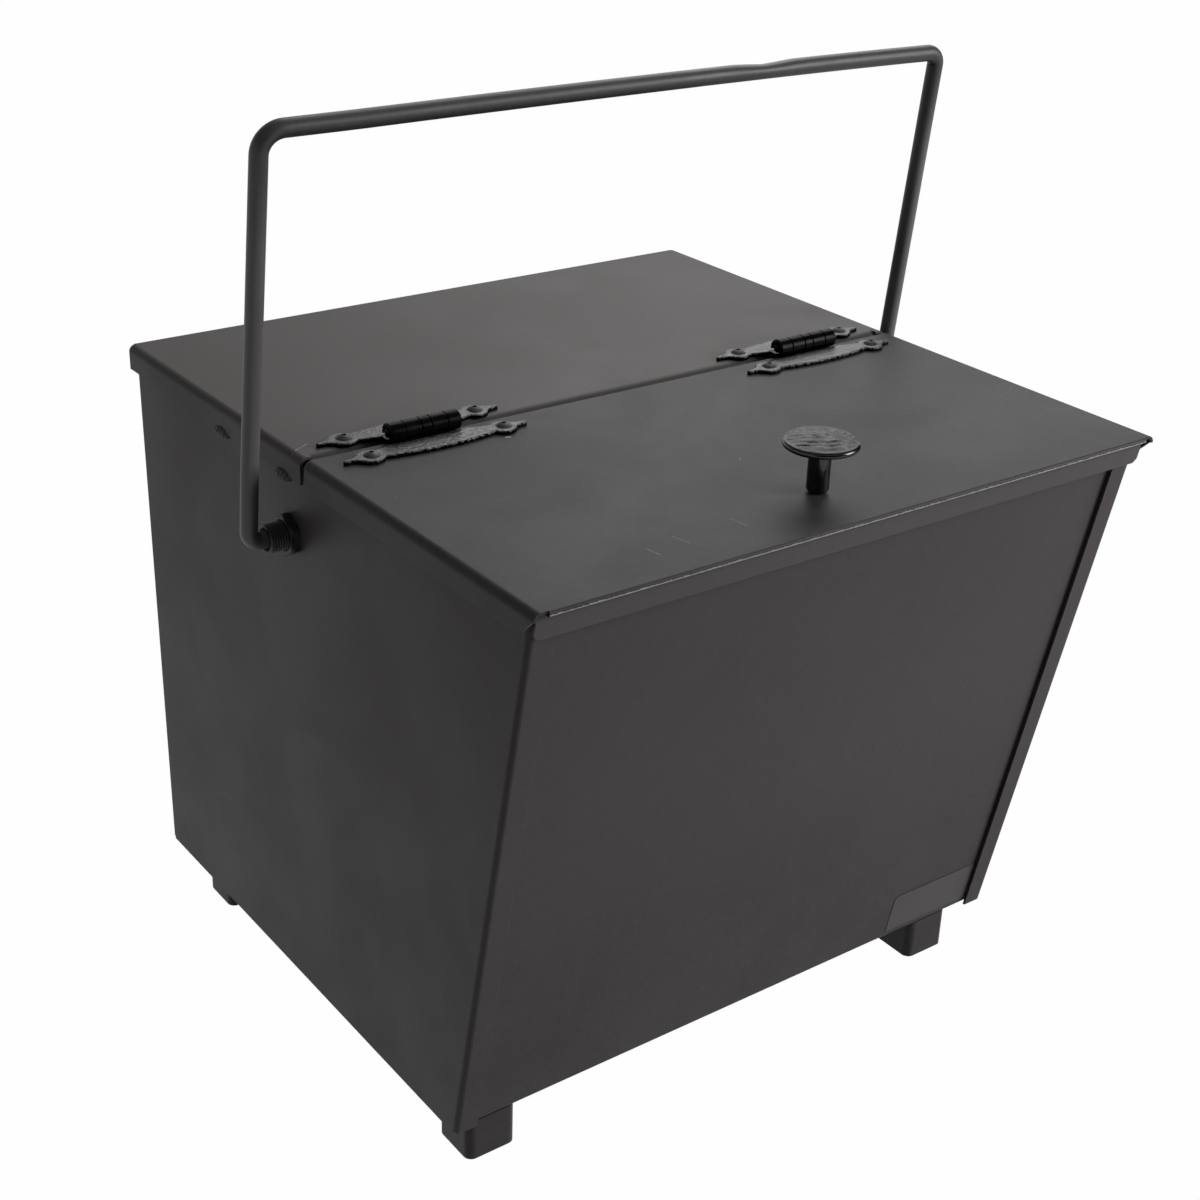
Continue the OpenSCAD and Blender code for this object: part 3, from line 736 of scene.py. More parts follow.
@dataclass(frozen=True)
class BareLabel:
    """Smooth film of an empty name plate: a little glossier and browner than the coat round it."""

    name: str = "bare_label_film"
    colour: tuple[float, float, float] = (0.041, 0.037, 0.0365)
    roughness: float = 0.45
    specular: float = 0.22
    grain_depth: float = 0.01

    def build(self, effects: Effects) -> bpy.types.Material:
        """Builds the material.

        Args:
            effects: the shared node groups.

        Returns:
            The material.
        """
        material, graph, shader = new_material(self.name)
        grain = effects.place(graph, effects.powder_grain(), Grain_Size=0.0004, Cloud_Size=0.03)
        smears = effects.place(graph, effects.smears(), Size=0.02).outputs["Mask"]
        cloud = graph.span(grain.outputs["Cloud"], 0.3, 0.7)
        tint = graph.mix(cloud, toned(self.colour, 0.94), toned(self.colour, 1.06))
        tint = graph.mix(graph.math("MULTIPLY", smears, 0.15), tint, FINGER_FILM)
        graph.feed(shader.inputs["Base Color"], tint)
        rough = graph.math("MULTIPLY_ADD", smears, 0.12, self.roughness)
        graph.feed(shader.inputs["Roughness"], rough)
        graph.preset(shader, Specular_IOR_Level=self.specular)
        graph.bump(shader, grain.outputs["Height"], self.grain_depth * MM, 0.3)
        return material


@dataclass(frozen=True)
class PaleGround:
    """Floor and backdrop: pale where light falls on it, white to the camera and in reflections."""

    name: str = "pale_ground"
    colour: tuple[float, float, float] = (0.3, 0.3, 0.3)
    white: float = 0.99

    def build(self) -> bpy.types.Material:
        """Builds the material.

        Returns:
            The material.
        """
        material, graph, shader = new_material(self.name)
        graph.preset(shader, Base_Color=toned(self.colour), Roughness=0.9, Specular_IOR_Level=0.1)
        glow = graph.node("ShaderNodeEmission")
        graph.preset(glow, Color=WHITE, Strength=1.0)
        mix = graph.node("ShaderNodeMixShader")
        graph.feed(mix.inputs[0], graph.math("MULTIPLY", graph.backdrop_rays(), self.white))
        graph.feed(mix.inputs[1], shader.outputs[0])
        graph.feed(mix.inputs[2], glow.outputs[0])
        output = next(n for n in graph.tree.nodes if n.type == "OUTPUT_MATERIAL")
        graph.feed(output.inputs["Surface"], mix.outputs[0])
        return material


def add_mesh(name: str, shape: bmesh.types.BMesh, material: bpy.types.Material,
             smooth: float = 40.0) -> bpy.types.Object:
    """Turns a bmesh into an object with a material.

    Args:
        name: the piece's name.
        shape: the mesh, which is freed.
        material: its material.
        smooth: edges that turn by less than this, in degrees, are shaded smooth.

    Returns:
        The object.
    """
    bmesh.ops.recalc_face_normals(shape, faces=shape.faces)
    limit = math.radians(smooth)
    for face in shape.faces:
        face.smooth = True
    for edge in shape.edges:
        if len(edge.link_faces) == 2 and edge.calc_face_angle(0.0) > limit:
            edge.smooth = False
    data = bpy.data.meshes.new(name)
    shape.to_mesh(data)
    shape.free()
    data.materials.append(material)
    made = bpy.data.objects.new(name, data)
    bpy.context.scene.collection.objects.link(made)
    return made


def ring_of(shape: bmesh.types.BMesh, radius: float, height: float, steps: int
            ) -> list[bmesh.types.BMVert]:
    """Adds a level ring of points round the Z axis.

    Args:
        shape: the mesh to add to.
        radius: the ring's radius.
        height: its height.
        steps: number of points.

    Returns:
        The points.
    """
    turns = [FULL_TURN * i / steps for i in range(steps)]
    return [shape.verts.new((radius * math.cos(a), radius * math.sin(a), height)) for a in turns]


def join_rings(shape: bmesh.types.BMesh, rings: Sequence[Sequence[bmesh.types.BMVert]]) -> None:
    """Lays a band of faces between each ring and the next.

    Args:
        shape: the mesh to add to.
        rings: the rings, all with the same number of points, apart from single points on the axis.
    """
    for low, high in zip(rings, rings[1:]):
        steps = max(len(low), len(high))
        for i in range(steps):
            j = (i + 1) % steps
            face = (low[i % len(low)], low[j % len(low)], high[j % len(high)], high[i % len(high)])
            shape.faces.new(list(dict.fromkeys(face)))


def turned_shape(profile: Sequence[tuple[float, float]], steps: int) -> bmesh.types.BMesh:
    """Turns a profile about the Z axis.

    Args:
        profile: radius and height of each point in millimetres, with both ends on the axis.
        steps: number of steps round.

    Returns:
        The closed mesh, in millimetres.
    """
    shape = bmesh.new()
    join_rings(shape, [ring_of(shape, r, z, steps if r > 0.0 else 1) for r, z in profile])
    return shape


def lay_along_pivot(shape: bmesh.types.BMesh, node: str, side: Side) -> None:
    """Lays a turned shape along the bail's pivot, from the inner end of a node outwards.

    Args:
        shape: the mesh in millimetres, with its foot on Z = 0.
        node: the node that it stands in for.
        side: the side of the bucket.
    """
    low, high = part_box(node)
    middle = (low + high) / 2.0
    start = high.x if side is Side.LEFT else low.x
    turn = Matrix.Rotation(math.radians(90.0 * side.out), 3, "Y")
    bmesh.ops.rotate(shape, verts=shape.verts, matrix=turn)
    bmesh.ops.scale(shape, verts=shape.verts, vec=(MM, MM, MM))
    bmesh.ops.translate(shape, verts=shape.verts, vec=(start, middle.y, middle.z))


def arc(middle: tuple[float, float], radius: float, start: float, end: float,
        steps: int) -> list[tuple[float, float]]:
    """Lists points on an arc.

    Args:
        middle: the arc's centre.
        radius: its radius.
        start: first angle in degrees.
        end: last angle in degrees.
        steps: number of steps.

    Returns:
        The points, both ends included.
    """
    turn = [math.radians(start + (end - start) * i / steps) for i in range(steps + 1)]
    return [(middle[0] + radius * math.cos(a), middle[1] + radius * math.sin(a)) for a in turn]


@dataclass
class SheetMetal:
    """The folded box: its walls, floor, cover, lid and feet, and the bare name plate in front."""

    coat: bpy.types.Material
    cover_coat: bpy.types.Material
    lid_coat: bpy.types.Material
    label_film: bpy.types.Material
    label_left: float = 115.6
    label_right: float = 184.4
    label_low: float = 31.0
    label_high: float = 59.5
    label_corner: float = 3.4
    label_thick: float = 0.25

    def dress(self) -> None:
        """Gives each folded sheet and foot its coat."""
        coats = {"body_wrap": self.coat, "rear_cover": self.cover_coat, "lid": self.lid_coat}
        for side in Side:
            for part in ("side_panel", "rear_strip", "foot_front", "foot_rear"):
                coats[f"{part}_{side}"] = self.coat
        for name, material in coats.items():
            paint_node(name, material)

    def build_label(self) -> bpy.types.Object:
        """Makes the empty name plate that lies on the sloped front beside the right strip.

        Returns:
            The plate.
        """
        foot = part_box("body_wrap")[0].z
        lean = math.atan2(self.front_at(foot + 0.1) - self.front_at(foot + 0.2), 0.1)
        foot_y = self.front_at(self.label_low * MM) / MM
        rise = (self.label_high - self.label_low) / math.cos(lean)
        left, right = self.label_left, self.label_right
        corner = self.label_corner
        outline = [(left, 0.0), (right, 0.0), (right, rise)]
        outline += arc((left + corner, rise - corner), corner, 90.0, 180.0, 8)
        shape = bmesh.new()
        face = shape.faces.new([shape.verts.new((x, 0.0, y)) for x, y in outline])
        pushed = bmesh.ops.extrude_face_region(shape, geom=[face])
        verts = [v for v in pushed["geom"] if isinstance(v, bmesh.types.BMVert)]
        bmesh.ops.translate(shape, verts=verts, vec=(0.0, -self.label_thick, 0.0))
        bmesh.ops.rotate(shape, verts=shape.verts, matrix=Matrix.Rotation(lean, 3, "X"))
        bmesh.ops.translate(shape, verts=shape.verts, vec=(0.0, foot_y, self.label_low))
        bmesh.ops.scale(shape, verts=shape.verts, vec=(MM, MM, MM))
        plate = add_mesh("bare_name_plate", shape, self.label_film)
        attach(plate, Body.BUCKET.value)
        log.info("name plate with %d faces", len(plate.data.polygons))
        return plate

    def front_at(self, height: float) -> float:
        """Finds the outer face of the sloped front sheet at a height.

        Args:
            height: height above the ground in metres.

        Returns:
            Its place along the depth, in metres.
        """
        node = bpy.data.objects["body_wrap"]
        start = Vector((0.0, -1.0, height))
        hit, place, *_ = node.ray_cast(start, Vector((0.0, 1.0, 0.0)))
        if not hit:
            raise ValueError(f"no front sheet at a height of {height} m")
        return place.y


def paint_node(name: str, material: bpy.types.Material) -> None:
    """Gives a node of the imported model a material.

    Args:
        name: the node.
        material: its material.
    """
    node = bpy.data.objects[name]
    if not node.data.materials:
        node.data.materials.append(material)
    for slot in node.material_slots:
        slot.material = material
    log.info("%s is finished in %s", name, material.name)


@dataclass
class WroughtHinge:
    """One hinge: two hammered leaves with ragged edges, and a barrel of rolled knuckles on a pin.

    Sizes are in millimetres. Across a leaf they are counted from the hinge's axis outwards. The
    waist is the leaf's middle part, a pad is the round at each rivet, and a spike is a pointed end.
    Each point of pin_end is a share of the pin's radius, and how far it stands past the barrel.
    """

    side: Side
    paint: bpy.types.Material
    painted_shade_iron: bpy.types.Material
    thick: float = 2.5
    root: float = 5.9
    reach: float = 21.8
    pitch: float = 80.3
    set_off: float = 14.2
    pad: float = 8.0
    length: float = 111.0
    tip: float = 1.3
    waist_short: float = 6.15
    waist_outer: float = 4.1
    waist_inner: float = 5.4
    waist_over: float = 1.5
    spike_from: float = 0.6
    spike_width: float = 0.72
    spike_curve: float = 2.2
    spike_over: float = 2.0
    leaf_shift: float = -0.8
    barrel_shift: float = -0.7
    barrel_radius: float = 5.5
    barrel_lift: float = 0.3
    barrel_margin: float = 0.5
    # How far past the barrel the painted shadow reaches on the lid leaf and on the cover leaf, in
    # millimetres.
    lid_shade: float = 1.6
    cover_shade: float = 0.4
    bore: float = 2.9
    strip: float = 2.2
    chamfer: float = 0.2
    knuckles: tuple[float, ...] = (8.3, 9.7, 6.2, 9.7, 8.3)
    gap: float = 0.3
    pin_end: tuple[tuple[float, float], ...] = (
        (0.0, 0.25), (0.55, 0.2), (0.9, -0.05), (1.0, -0.4), (0.985, -2.0),
    )
    cell: float = 0.6
    ragged: float = 0.45
    rough_scale: float = 0.33
    fine_scale: float = 0.9
    dent: float = 0.15
    dent_scale: float = 0.36
    forge_scale: float = 0.5
    rivet_flat: float = 18.0
    round_over: float = 0.6

    def centre(self) -> Vector:
        """Finds the middle of the leaves on the hinge's axis, from the leaf and the pin.

        Returns:
            The point in millimetres.
        """
        low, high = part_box(f"hinge_pin_{self.side}")
        leaf_low, leaf_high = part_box(f"hinge_cover_leaf_{self.side}")
        middle = (low + high) / (2.0 * MM)
        middle.x = (leaf_low.x + leaf_high.x) / (2.0 * MM) + self.leaf_shift
        return middle

    def distance_in(self, x: float, y: float) -> float:
        """Measures how far inside a leaf's outline a point lies.

        Args:
            x: place along the hinge, from its middle.
            y: place across it, from its axis outwards.

        Returns:
            The distance in millimetres, negative outside.
        """
        x = abs(x)
        waist = self.pitch / 2.0 - self.waist_short
        waist_out = self.set_off + self.waist_outer
        waist_in = self.set_off - self.waist_inner
        sag = self.reach - waist_out
        bow = (waist * waist + sag * sag) / (2.0 * sag)
        outer = bow - math.hypot(x, y - (self.reach - bow))
        half = sum(self.knuckles) / 2.0 + abs(self.barrel_shift) + self.barrel_margin
        slope = (waist_in - self.root) / (waist + self.waist_over - half)
        inner_edge = self.root + max(0.0, x - half) * slope
        inner = (y - inner_edge) / math.hypot(1.0, slope if x > half else 0.0)
        middle = min(outer, inner, waist + self.waist_over - x)
        pad = self.pad - math.hypot(x - self.pitch / 2.0, y - self.set_off)
        tip_x = self.length / 2.0 - self.tip
        start = self.pitch / 2.0 + self.pad * self.spike_from
        share = min(max((x - start) / (tip_x - start), 0.0), 1.0)
        widening = (self.pad * self.spike_width - self.tip) * (1.0 - share) ** self.spike_curve
        half_width = self.tip + widening
        spike = min(half_width - abs(y - self.set_off), tip_x - x, x - start + self.spike_over)
        point = self.tip - math.hypot(x - tip_x, y - self.set_off)
        return max(middle, pad, spike, point)

    def build_leaf(self, leaf: Leaf) -> bpy.types.Object:
        """Makes one leaf with the knuckles that it carries, and puts it in place of the plain one.

        Args:
            leaf: the leaf on the cover or on the lid.

        Returns:
            The piece.
        """
        word = leaf.name.lower()
        shape = self.plate(leaf)
        first = 0 if leaf is Leaf.COVER else 1
        for index in range(first, len(self.knuckles), 2):
            self.knuckle(shape, index)
        if leaf is Leaf.LID:
            bmesh.ops.scale(shape, verts=shape.verts, vec=(1.0, -1.0, 1.0))
            bmesh.ops.reverse_faces(shape, faces=shape.faces)
        low, _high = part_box(f"hinge_{word}_leaf_{self.side}")
        centre = self.centre()
        bmesh.ops.translate(shape, verts=shape.verts, vec=(centre.x, centre.y, low.z / MM))
        bmesh.ops.scale(shape, verts=shape.verts, vec=(MM, MM, MM))
        piece = add_mesh(f"wrought_{word}_leaf_{self.side}", shape, self.paint, smooth=55.0)
        # The barrel, the leaf's side faces and the strip beside the barrel get a far darker copy of
        # the hinge paint: painted shade, and a painted shadow beside the barrel.
        piece.data.materials.append(self.painted_shade_iron)
        shade = self.lid_shade if leaf is Leaf.LID else self.cover_shade
        painted_shadow_reach = (self.barrel_radius + shade) * MM
        for face in piece.data.polygons:
            middle = face.center
            across = math.hypot(middle.y - centre.y * MM, middle.z - centre.z * MM)
            if across < painted_shadow_reach or face.normal.z < 0.5:
                face.material_index = 1
        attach(piece, (Body.BUCKET if leaf is Leaf.COVER else Body.LID).value)
        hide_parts(f"hinge_{word}_leaf_{self.side}")
        log.info("hinge %s: %s leaf with %d faces", self.side, word, len(piece.data.polygons))
        return piece

    def build_pin(self) -> bpy.types.Object:
        """Makes the pin with two peened heads, in place of the plain one.

        Returns:
            The piece.
        """
        low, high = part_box(f"hinge_pin_{self.side}")
        radius = (high.z - low.z) / (2.0 * MM)
        middle = (low + high) / 2.0
        half = sum(self.knuckles) / 2.0 + 0.3
        head = [(radius * share, half + past) for share, past in self.pin_end]
        shape = turned_shape(head + [(r, -z) for r, z in reversed(head)], 40)
        turn = Matrix.Rotation(math.radians(90.0), 3, "Y")
        bmesh.ops.rotate(shape, verts=shape.verts, matrix=turn)
        bmesh.ops.scale(shape, verts=shape.verts, vec=(MM, MM, MM))
        x = self.centre().x + self.barrel_shift
        bmesh.ops.translate(shape, verts=shape.verts, vec=(x * MM, middle.y, middle.z))
        # The pin gets the same darker copy of the hinge paint: painted shade.
        piece = add_mesh(f"peened_pin_{self.side}", shape, self.painted_shade_iron, smooth=50.0)
        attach(piece, Body.BUCKET.value)
        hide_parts(f"hinge_pin_{self.side}")
        log.info("hinge %s: pin with %d faces", self.side, len(piece.data.polygons))
        return piece

    def plate(self, leaf: Leaf) -> bmesh.types.BMesh:
        """Makes the hammered plate of a leaf with its foot on Z = 0.

        Args:
            leaf: which leaf, so that no two are alike.

        Returns:
            The mesh in millimetres.
        """
        seed = Vector((17.0 if self.side is Side.LEFT else 43.0, 5.0 * leaf.value, 0.0))
        shape = bmesh.new()
        columns = int(self.length / self.cell) + 5
        rows = int((self.reach - self.root) / self.cell) + 7
        start_x = -columns * self.cell / 2.0
        start_y = self.root - 3.0 * self.cell
        grid: dict[tuple[int, int], tuple[float, float, float]] = {}
        for i in range(columns + 1):
            for j in range(rows + 1):
                x = start_x + i * self.cell
                y = start_y + j * self.cell
                rough_spot = Vector((x * self.rough_scale, y * self.rough_scale, 0.0)) + seed
                rough = noise.fractal(rough_spot, 1.0, 2.0, 3)
                fine = noise.noise(Vector((x * self.fine_scale, y * self.fine_scale, 7.0)) + seed)
                lost = self.ragged * (0.55 + 0.9 * rough + 0.5 * fine)
                calm = max(0.0, min(1.0, (y - self.root) / 2.0))
                calm *= max(0.0, min(1.0, (self.length / 2.0 - 3.0 - abs(x)) / 3.0))
                grid[i, j] = (x, y, self.distance_in(x, y) - max(0.0, lost) * calm)
        verts: dict[tuple[int, int], bmesh.types.BMVert] = {}
        step = self.cell * 0.5

        def vertex(i: int, j: int) -> bmesh.types.BMVert:
            """Returns the grid's vertex, moved onto the outline if it lies just outside."""
            if (i, j) not in verts:
                x, y, inside = grid[i, j]
                if inside < 0.3 * self.cell:
                    slope_x = self.distance_in(x + step, y) - self.distance_in(x - step, y)
                    slope_y = self.distance_in(x, y + step) - self.distance_in(x, y - step)
                    slope_x, slope_y = slope_x / (2.0 * step), slope_y / (2.0 * step)
                    size = max(0.3, slope_x * slope_x + slope_y * slope_y)
                    x -= slope_x * inside / size
                    y -= slope_y * inside / size
                    inside = 0.0
                verts[i, j] = shape.verts.new((x, y, self.top_at(x, y, inside, seed)))
            return verts[i, j]

        for i in range(columns):
            for j in range(rows):
                cell = [(i, j), (i + 1, j), (i + 1, j + 1), (i, j + 1)]
                depths = [grid[c][2] for c in cell]
                if min(depths) > -0.7 * self.cell and max(depths) > 0.0:
                    shape.faces.new([vertex(*c) for c in cell])
        rim = [edge for edge in shape.edges if edge.is_boundary]
        walls = bmesh.ops.extrude_edge_only(shape, edges=rim)
        for part in walls["geom"]:
            if isinstance(part, bmesh.types.BMVert):
                part.co.z = CLEAR
        lower = [e for e in walls["geom"] if isinstance(e, bmesh.types.BMEdge) and e.is_boundary]
        bmesh.ops.triangle_fill(shape, edges=lower, use_beauty=True)
        return shape

    def top_at(self, x: float, y: float, inside: float, seed: Vector) -> float:
        """Finds the height of a leaf's hammered top.

        Args:
            x: place along the hinge.
            y: place across it.
            inside: distance from the outline.
            seed: shift of the noise.

        Returns:
            The height in millimetres.
        """
        spot = Vector((x, y, 0.0)) + seed
        cells = noise.voronoi(spot * self.dent_scale)[0]
        dents = (0.55 - cells[0]) * 1.1
        forge = noise.fractal(spot * self.forge_scale, 1.0, 2.0, 3)
        from_rivet = (abs(x) - self.pitch / 2.0) ** 2 + (y - self.set_off) ** 2
        flat = math.exp(-from_rivet / self.rivet_flat)
        lowered = self.dent * (1.0 - 0.8 * flat) * max(0.0, min(2.2, 0.75 + dents + forge))
        edge = min(1.0, max(0.0, inside) / self.round_over)
        drop = self.round_over * (1.0 - math.sqrt(1.0 - (1.0 - edge) ** 2))
        return self.thick - lowered - drop

    def knuckle(self, shape: bmesh.types.BMesh, index: int) -> None:
        """Adds one knuckle: the leaf's strip rolled round the pin.

        Args:
            shape: the leaf's mesh.
            index: which knuckle of the barrel, from the left.
        """
        left = self.barrel_shift - sum(self.knuckles) / 2.0
        last = len(self.knuckles) - 1
        start = left + sum(self.knuckles[:index]) + (self.gap / 2.0 if index else 0.0)
        end = left + sum(self.knuckles[:index + 1]) - (self.gap / 2.0 if index < last else 0.0)
        axis = self.barrel_radius + self.barrel_lift
        low = axis - self.barrel_radius
        outer = arc((0.0, axis), self.barrel_radius, 270.0, -14.0, 44)
        inner = arc((0.0, axis), self.bore, -10.0, 270.0, 36)
        foot_y = self.root + 1.2
        foot = [(0.5, low + self.strip), (foot_y, low + self.strip), (foot_y, low)]
        section = outer + inner + foot
        ends = ((0.0, self.chamfer), (self.chamfer, 0.0), (0.5, 0.0))
        stops = [(start + inwards, shrink) for inwards, shrink in ends]
        stops += [(end - inwards, shrink) for inwards, shrink in reversed(ends)]
        rings: list[list[bmesh.types.BMVert]] = []
        for x, shrink in stops:
            ring = []
            for order, (y, z) in enumerate(section):
                away = math.hypot(y, z - axis)
                scale = (away - shrink) / away if order < len(outer) else 1.0
                ring.append(shape.verts.new((x, y * scale, axis + (z - axis) * scale)))
            rings.append(ring)
        join_rings(shape, rings)
        for ring in (rings[0], rings[-1]):
            edges = [shape.edges.get(pair) for pair in zip(ring, ring[1:] + ring[:1])]
            bmesh.ops.triangle_fill(shape, edges=edges, use_beauty=True)


@dataclass
class HammeredKnob:
    """The knob: a thin round head with a hammered crown, a smooth dished underside and a stem.

    Sizes are in millimetres. The dish is the underside, the neck joins it to the stem.
    """

    paint: bpy.types.Material
    stem_paint: bpy.types.Material
    head_radius: float = 19.6
    height: float = 30.0
    crown: float = 2.5
    rim: float = 3.2
    dish_inset: float = 2.6
    dish_end: float = 1.2
    dish_curve: float = 1.25
    dish_depth: float = 1.6
    neck_round: float = 2.4
    stem_radius: float = 5.8
    foot_radius: float = 4.0
    foot_rise: float = 2.4
    steps: int = 160
    dent: float = 0.95

    def profile(self) -> list[tuple[float, float]]:
        """Lists the knob's outline from the middle of its crown down to its foot.

        Returns:
            Radius and height of each point.
        """
        rim_top = self.height - self.crown
        rim_mid = rim_top - self.rim / 2.0
        under = rim_top - self.rim
        ball = (self.head_radius ** 2 + self.crown ** 2) / (2.0 * self.crown)
        crown = []
        for i in range(40):
            radius = (self.head_radius - 0.9) * i / 39
            crown.append((radius, self.height - ball + math.sqrt(ball * ball - radius * radius)))
        edge = arc((self.head_radius - self.rim / 2.0, rim_mid), self.rim / 2.0, 70.0, -80.0, 10)
        dished = self.head_radius - self.dish_inset - self.stem_radius
        dish = []
        for i in range(11):
            radius = self.stem_radius + self.dish_end + dished * (1.0 - i / 10) ** self.dish_curve
            dish.append((radius, under - self.dish_depth * i / 10))
        neck_middle = (self.stem_radius + self.neck_round, under - 4.0)
        neck = arc(neck_middle, self.neck_round, 90.0, 180.0, 6)[1:]
        flare = self.stem_radius - self.foot_radius
        taper = []
        for i in range(8, -1, -1):
            radius = self.foot_radius + flare * math.sin(0.5 * math.pi * i / 8)
            taper.append((radius, CLEAR + self.foot_rise * i / 8))
        stem = [(self.stem_radius, under - 5.0 - i * 2.0) for i in range(9)]
        stem = [point for point in stem if point[1] > taper[0][1] + 0.5]
        return crown + edge + dish + neck + stem + taper + [(0.0, CLEAR)]

    def noise_at(self, place: Vector, scale: float, layer: float) -> float:
        """Returns noise at a place on the head, from the layer given, about -1 to 1."""
        return noise.noise(Vector((place.x * scale, place.y * scale, layer)))

    def build(self) -> bpy.types.Object:
        """Makes the knob in place of the plain one.

        Returns:
            The piece.
        """
        shape = turned_shape(self.profile(), self.steps)
        rim_low = self.height - self.crown - self.rim
        for v in shape.verts:
            radius = math.hypot(v.co.x, v.co.y)
            if v.co.z < rim_low - 0.05:
                continue
            top = min(1.0, max(0.0, (self.head_radius - 1.3 - radius) / 1.6))
            swell = self.noise_at(v.co, 0.11, 4.0)
            bend = self.noise_at(v.co, 0.33, 6.0)
            across = 1.5 * (0.6 * v.co.x + 0.8 * v.co.y) + 5.0 * swell + 1.7 * bend
            strength = min(1.0, max(0.1, 0.5 + 1.1 * self.noise_at(v.co, 0.16, 12.0)))
            ridges = 0.55 * (0.5 + 0.5 * math.sin(across)) * strength
            v.co.z -= self.dent * top * max(0.0, ridges + 0.45 * (0.5 + swell))
            wobble = 0.25 * (0.5 + self.noise_at(v.co, 0.1, 9.0))
            if radius > self.head_radius - 3.0:
                share = (radius - self.head_radius + 3.0) / 3.0
                v.co.x *= 1.0 - share * wobble / radius
                v.co.y *= 1.0 - share * wobble / radius
        low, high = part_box("knob")
        middle = (low + high) / 2.0
        bmesh.ops.scale(shape, verts=shape.verts, vec=(MM, MM, MM))
        bmesh.ops.translate(shape, verts=shape.verts, vec=(middle.x, middle.y, low.z))
        piece = add_mesh("hammered_knob", shape, self.paint, smooth=50.0)
        piece.data.materials.append(self.stem_paint)
        split = low.z + (self.height - self.crown - 0.25) * MM
        for face in piece.data.polygons:
            if face.center.z < split:
                face.material_index = 1
        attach(piece, Body.LID.value)
        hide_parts("knob")
        log.info("knob with %d faces", len(piece.data.polygons))
        return piece


@dataclass
class ThreadedBush:
    """A hollow bush with a real screw thread outside and a countersunk mouth, in millimetres."""

    side: Side
    paint: bpy.types.Material
    radius: float = 8.0
    bore: float = 5.0
    mouth: float = 6.5
    mouth_depth: float = 2.5
    pitch: float = 1.5
    thread_depth: float = 0.35
    steps: int = 72

    def build(self) -> bpy.types.Object:
        """Makes the bush in place of the plain one.

        Returns:
            The piece.
        """
        low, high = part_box(f"bush_{self.side}")
        length = (high.x - low.x) / MM
        rows = int(length / self.pitch * 8)
        shape = bmesh.new()
        rings: list[list[bmesh.types.BMVert]] = []
        for row in range(rows + 1):
            z = length * row / rows
            lead = min(1.0, min(z, length - z) / 0.9)
            ring = []
            for i in range(self.steps):
                turn = i / self.steps
                phase = (z / self.pitch - turn) % 1.0
                wave = abs(2.0 * phase - 1.0)
                crest = min(1.0, max(0.0, (wave - 0.15) / 0.7))
                radius = self.radius - self.thread_depth * (1.0 - crest) - (1.0 - lead) * 0.6
                angle = FULL_TURN * turn
                spot = (radius * math.cos(angle), radius * math.sin(angle), z)
                ring.append(shape.verts.new(spot))
            rings.append(ring)
        sunk = length - self.mouth_depth
        for radius, z in ((self.mouth, length), (self.bore, sunk), (self.bore, 0.0)):
            rings.append(ring_of(shape, radius, z, self.steps))
        join_rings(shape, rings + rings[:1])
        lay_along_pivot(shape, f"bush_{self.side}", self.side)
        piece = add_mesh(f"threaded_bush_{self.side}", shape, self.paint, smooth=50.0)
        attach(piece, Body.BUCKET.value)
        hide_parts(f"bush_{self.side}")
        log.info("bush %s with %d faces", self.side, len(piece.data.polygons))
        return piece


@dataclass
class HexNut:
    """The thin six-sided nut outside on a bush, with turned corners and a bore, in millimetres."""

    side: Side
    paint: bpy.types.Material
    across_flats: float = 21.6
    thick: float = 5.0
    bore: float = 8.0
    turned: float = 11.4
    corner: float = 0.9
    bevel: float = 0.8
    rough: float = 0.12
    steps: int = 72

    def radius_at(self, angle: float) -> float:
        """Finds the distance from the middle to the nut's side at an angle in radians."""
        sixth = math.pi / 3.0
        off = angle % sixth - sixth / 2.0
        return self.across_flats / 2.0 / math.cos(off)

    def build(self) -> bpy.types.Object:
        """Makes the nut in place of the plain one, flush on the side panel.

        Returns:
            The piece.
        """
        full = self.turned + self.corner
        stops = (
            (0.0, self.turned), (self.bevel, full), (self.thick - self.bevel, full),
            (self.thick, self.turned),
        )
        shape = bmesh.new()
        rings: list[list[bmesh.types.BMVert]] = []
        for height, limit in stops:
            ring = []
            for i in range(self.steps):
                angle = FULL_TURN * i / self.steps
                x, y = math.cos(angle), math.sin(angle)
                lost = abs(self.rough * noise.noise(Vector((3.0 * x, 3.0 * y, height))))
                radius = min(self.radius_at(angle), limit) - lost
                ring.append(shape.verts.new((radius * x, radius * y, height)))
            rings.append(ring)
        mouth = ((self.bore + 0.7, self.thick), (self.bore, self.thick - 0.7), (self.bore, 0.0))
        rings += [ring_of(shape, radius, height, self.steps) for radius, height in mouth]
        join_rings(shape, rings + rings[:1])
        lay_along_pivot(shape, f"bush_outer_nut_{self.side}", self.side)
        piece = add_mesh(f"turned_hex_nut_{self.side}", shape, self.paint, smooth=25.0)
        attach(piece, Body.BUCKET.value)
        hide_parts(f"bush_outer_nut_{self.side}")
        log.info("nut %s with %d faces", self.side, len(piece.data.polygons))
        return piece


def skin(shape: bmesh.types.BMesh, rings: Sequence[Sequence[Vector]]) -> None:
    """Lays a closed skin over a row of rings, with a cap at each end.

    Args:
        shape: the mesh to add to.
        rings: the points of each ring, the same number in each.
    """
    rows = [[shape.verts.new(point) for point in ring] for ring in rings]
    join_rings(shape, rows)
    shape.faces.new(list(reversed(rows[0])))
    shape.faces.new(rows[-1])


